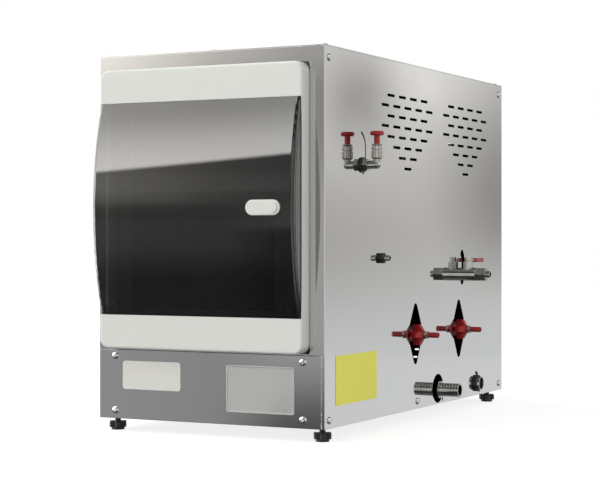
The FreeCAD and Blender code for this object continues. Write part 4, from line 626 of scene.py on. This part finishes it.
# %% Paint the paper behind the still
PAPER_TONE = 0.78
PAPER_FOOT = (-0.077, -0.064, PAPER_TONE + 0.07, PAPER_TONE)
PAPER_TOP = (0.2, 0.42, 1.0, 0.12)
CORNER_ACROSS = (0.55, 0.75)
CORNER_UP = (0.15, 0.4, 0.0, 1.7)
BOARDS = (
    dict(Middle=0.398, Level=0.101, Half_Width=0.074, Half_Height=0.061, Amount=0.30),
    dict(Middle=0.334, Level=0.038, Half_Width=0.059, Half_Height=0.092, Amount=-0.405),
    dict(Middle=0.417, Level=0.088, Half_Width=0.035, Half_Height=0.051, Amount=-0.51),
    dict(Middle=0.60, Level=0.0, Half_Width=0.385, Half_Height=0.078, Amount=-0.36),
)


def paper_behind(tree, across, up):
    """The backdrop: lighter boards are added, darker ones taken away, its far corner is bright."""
    light = fade(tree, up, *PAPER_FOOT)
    for numbers in BOARDS:
        board = place_group(tree, soft_board, Across=across, Up=up, **numbers)
        light = sum_up(tree, "ADD", light, board["Light"])
    low_part = times(tree, light, fade(tree, up, *PAPER_TOP))
    corner = times(tree, fade(tree, across, *CORNER_ACROSS), fade(tree, up, *CORNER_UP))
    return sum_up(tree, "ADD", low_part, corner)


print("boards on the paper:", len(BOARDS))

# %% [markdown]
# ## The room in front
#
# The front sheets mirror the side where the camera stands. It is a darker room with a light wall
# at its left, a dip in the light above the middle and a pale shelf over it. One tone for the
# whole room would make the sheets look painted grey.

# %% Paint the room in front
ROOM_TONE = 0.33
ROOM_ACROSS = (-0.50, -0.45)
ROOM_UP = (-0.115, -0.06, -0.21, 0.14)
LEFT_WALL_ACROSS = (-0.58, -0.45, 1.0, 0.0)
LEFT_WALL_UP = (0.0, 0.1, 0.06, 0.9)
DIP_ACROSS = (-0.48, -0.44)
DIP_UP = (0.02, 0.07, 0.0, -0.13)
SHELF_FOOT = (0.09, 0.115, 0.0, 0.15)
SHELF_TOP = (0.14, 0.24, 1.0, 0.0)


def room_in_front(tree, across, up):
    """The darker room that the front sheets mirror, with a light wall at its left."""
    right, slope = fade(tree, across, *ROOM_ACROSS), fade(tree, up, *ROOM_UP)
    room = sum_up(tree, "MULTIPLY_ADD", right, slope, ROOM_TONE)
    left = times(tree, fade(tree, across, *LEFT_WALL_ACROSS), fade(tree, up, *LEFT_WALL_UP))
    dip = times(tree, fade(tree, across, *DIP_ACROSS), fade(tree, up, *DIP_UP))
    shelf = times(tree, fade(tree, up, *SHELF_FOOT), fade(tree, up, *SHELF_TOP))
    room = sum_up(tree, "ADD", room, dip)
    return sum_up(tree, "ADD", room, sum_up(tree, "ADD", left, shelf))


print("tone of the room:", ROOM_TONE)

# %% [markdown]
# ## The wall at the right and the window
#
# Round fittings squeeze the whole studio into thin stripes. The wall at the right gives them the
# light band along their middle. The window stands high on the left of the camera: its slanted
# lower edge is the bright band on the arched door. It could be a lamp with a frame, but painted
# light has exactly the edge that it is given.

# %% Paint the wall at the right and the window
BAND_FOOT = (-0.52, -0.36, 0.12, 1.15)
BAND_TOP = (0.24, 0.38, 1.0, 0.05)
WINDOW = (-0.49, -0.87, 0.0)
WINDOW_SLANT = (-0.876, 0.0, 1.0)
WINDOW_EDGE = (0.68, 0.705)
WINDOW_FALL = (0.69, 1.0, 5.5, 2.0)
WINDOW_TOP = (0.55, 0.8, 1.0, 0.15)
WINDOW_SIDES = (0.2, 0.6)


def wall_at_right(tree, up):
    """The light band that the plated fittings show along their middle, dark above and below it."""
    return times(tree, fade(tree, up, *BAND_FOOT), fade(tree, up, *BAND_TOP))


def window_light(tree, way, up):
    """The soft window: brightest at its slanted lower edge and fading upward."""
    climb = likeness(tree, way, WINDOW_SLANT)
    rows = times(tree, fade(tree, climb, *WINDOW_EDGE), fade(tree, climb, *WINDOW_FALL))
    rows = times(tree, rows, fade(tree, up, *WINDOW_TOP))
    return times(tree, rows, fade(tree, likeness(tree, way, WINDOW), *WINDOW_SIDES))


print("window's brightest value:", WINDOW_FALL[2])

# %% [markdown]
# ## The world
#
# The parts are joined by direction: paper behind, room in front, wall at the right, window and a
# soft sky above. The light gets dark toward the floor, a little warm above the horizon and cool
# below it. A camera ray sees plain white, as in a cut-out picture. A ray that has gone through
# the smoked door finds far less light, or else the openings in the back would shine through it.

# %% World light
BACKDROP = (0.45, 0.89, 0.0)
BACK_TURN = (-0.35, 0.25)
LOW_LIGHT = (-0.35, -0.12, 0.3, 1.0)
RIGHT_ACROSS = (0.05, 0.3)
RIGHT_TURN = (-0.5, -0.2, 1.0, 0.0)
SKY_UP = (0.45, 0.9, 0.0, 0.45)
SKY_ACROSS = (-0.2, 0.3, 1.0, 0.3)
BEHIND_GLASS = (0.0, 1.0, 1.0, 0.12)
WARM_UP = (-0.06, 0.0)
WARM_ACROSS = (-0.5, -0.45, 1.0, 0.6)
WARM = (1.03, 1.0, 0.955, 1.0)
COOL = (0.985, 1.0, 1.02, 1.0)


def share_out(tree, share, first, second):
    """The first value where the share is 0, the second where it is 1."""
    return sum_up(tree, "MULTIPLY_ADD", share, sum_up(tree, "SUBTRACT", second, first), first)


def studio_light(tree, way, across, up):
    """The strength of the light from every direction."""
    toward_back = likeness(tree, way, BACKDROP)
    front = room_in_front(tree, across, up)
    back_share = fade(tree, toward_back, *BACK_TURN)
    wall = share_out(tree, back_share, front, paper_behind(tree, across, up))
    wall = times(tree, wall, fade(tree, up, *LOW_LIGHT))
    in_front = fade(tree, toward_back, *RIGHT_TURN)
    right_share = times(tree, fade(tree, across, *RIGHT_ACROSS), in_front)
    wall = share_out(tree, right_share, wall, wall_at_right(tree, up))
    light = sum_up(tree, "ADD", wall, window_light(tree, way, up))
    sky = times(tree, fade(tree, up, *SKY_UP), fade(tree, across, *SKY_ACROSS))
    light = sum_up(tree, "ADD", light, sky)
    through_glass = put(tree, "LightPath", "Is Transmission Ray")
    return times(tree, light, fade(tree, through_glass, *BEHIND_GLASS))


def build_world():
    world = bpy.data.worlds.new("studio")
    bpy.context.scene.world = world
    world.use_nodes = True
    tree = world.node_tree
    way = put(tree, "TexCoord", "Generated")
    across = put(tree, "SeparateXYZ", "X", Vector=way)
    up = put(tree, "SeparateXYZ", "Z", Vector=way)
    seen = put(tree, "LightPath", "Is Camera Ray")
    shown = share_out(tree, seen, studio_light(tree, way, across, up), 1.0)
    warmth = times(tree, fade(tree, up, *WARM_UP), fade(tree, across, *WARM_ACROSS))
    plain = blend_colours(tree, seen, blend_colours(tree, warmth, COOL, WARM), WHITE)
    background = tree.nodes["Background"]
    feed(tree, background, "Color", plain)
    feed(tree, background, "Strength", shown)
    return world


world = build_world()
print("nodes in the world:", len(world.node_tree.nodes))
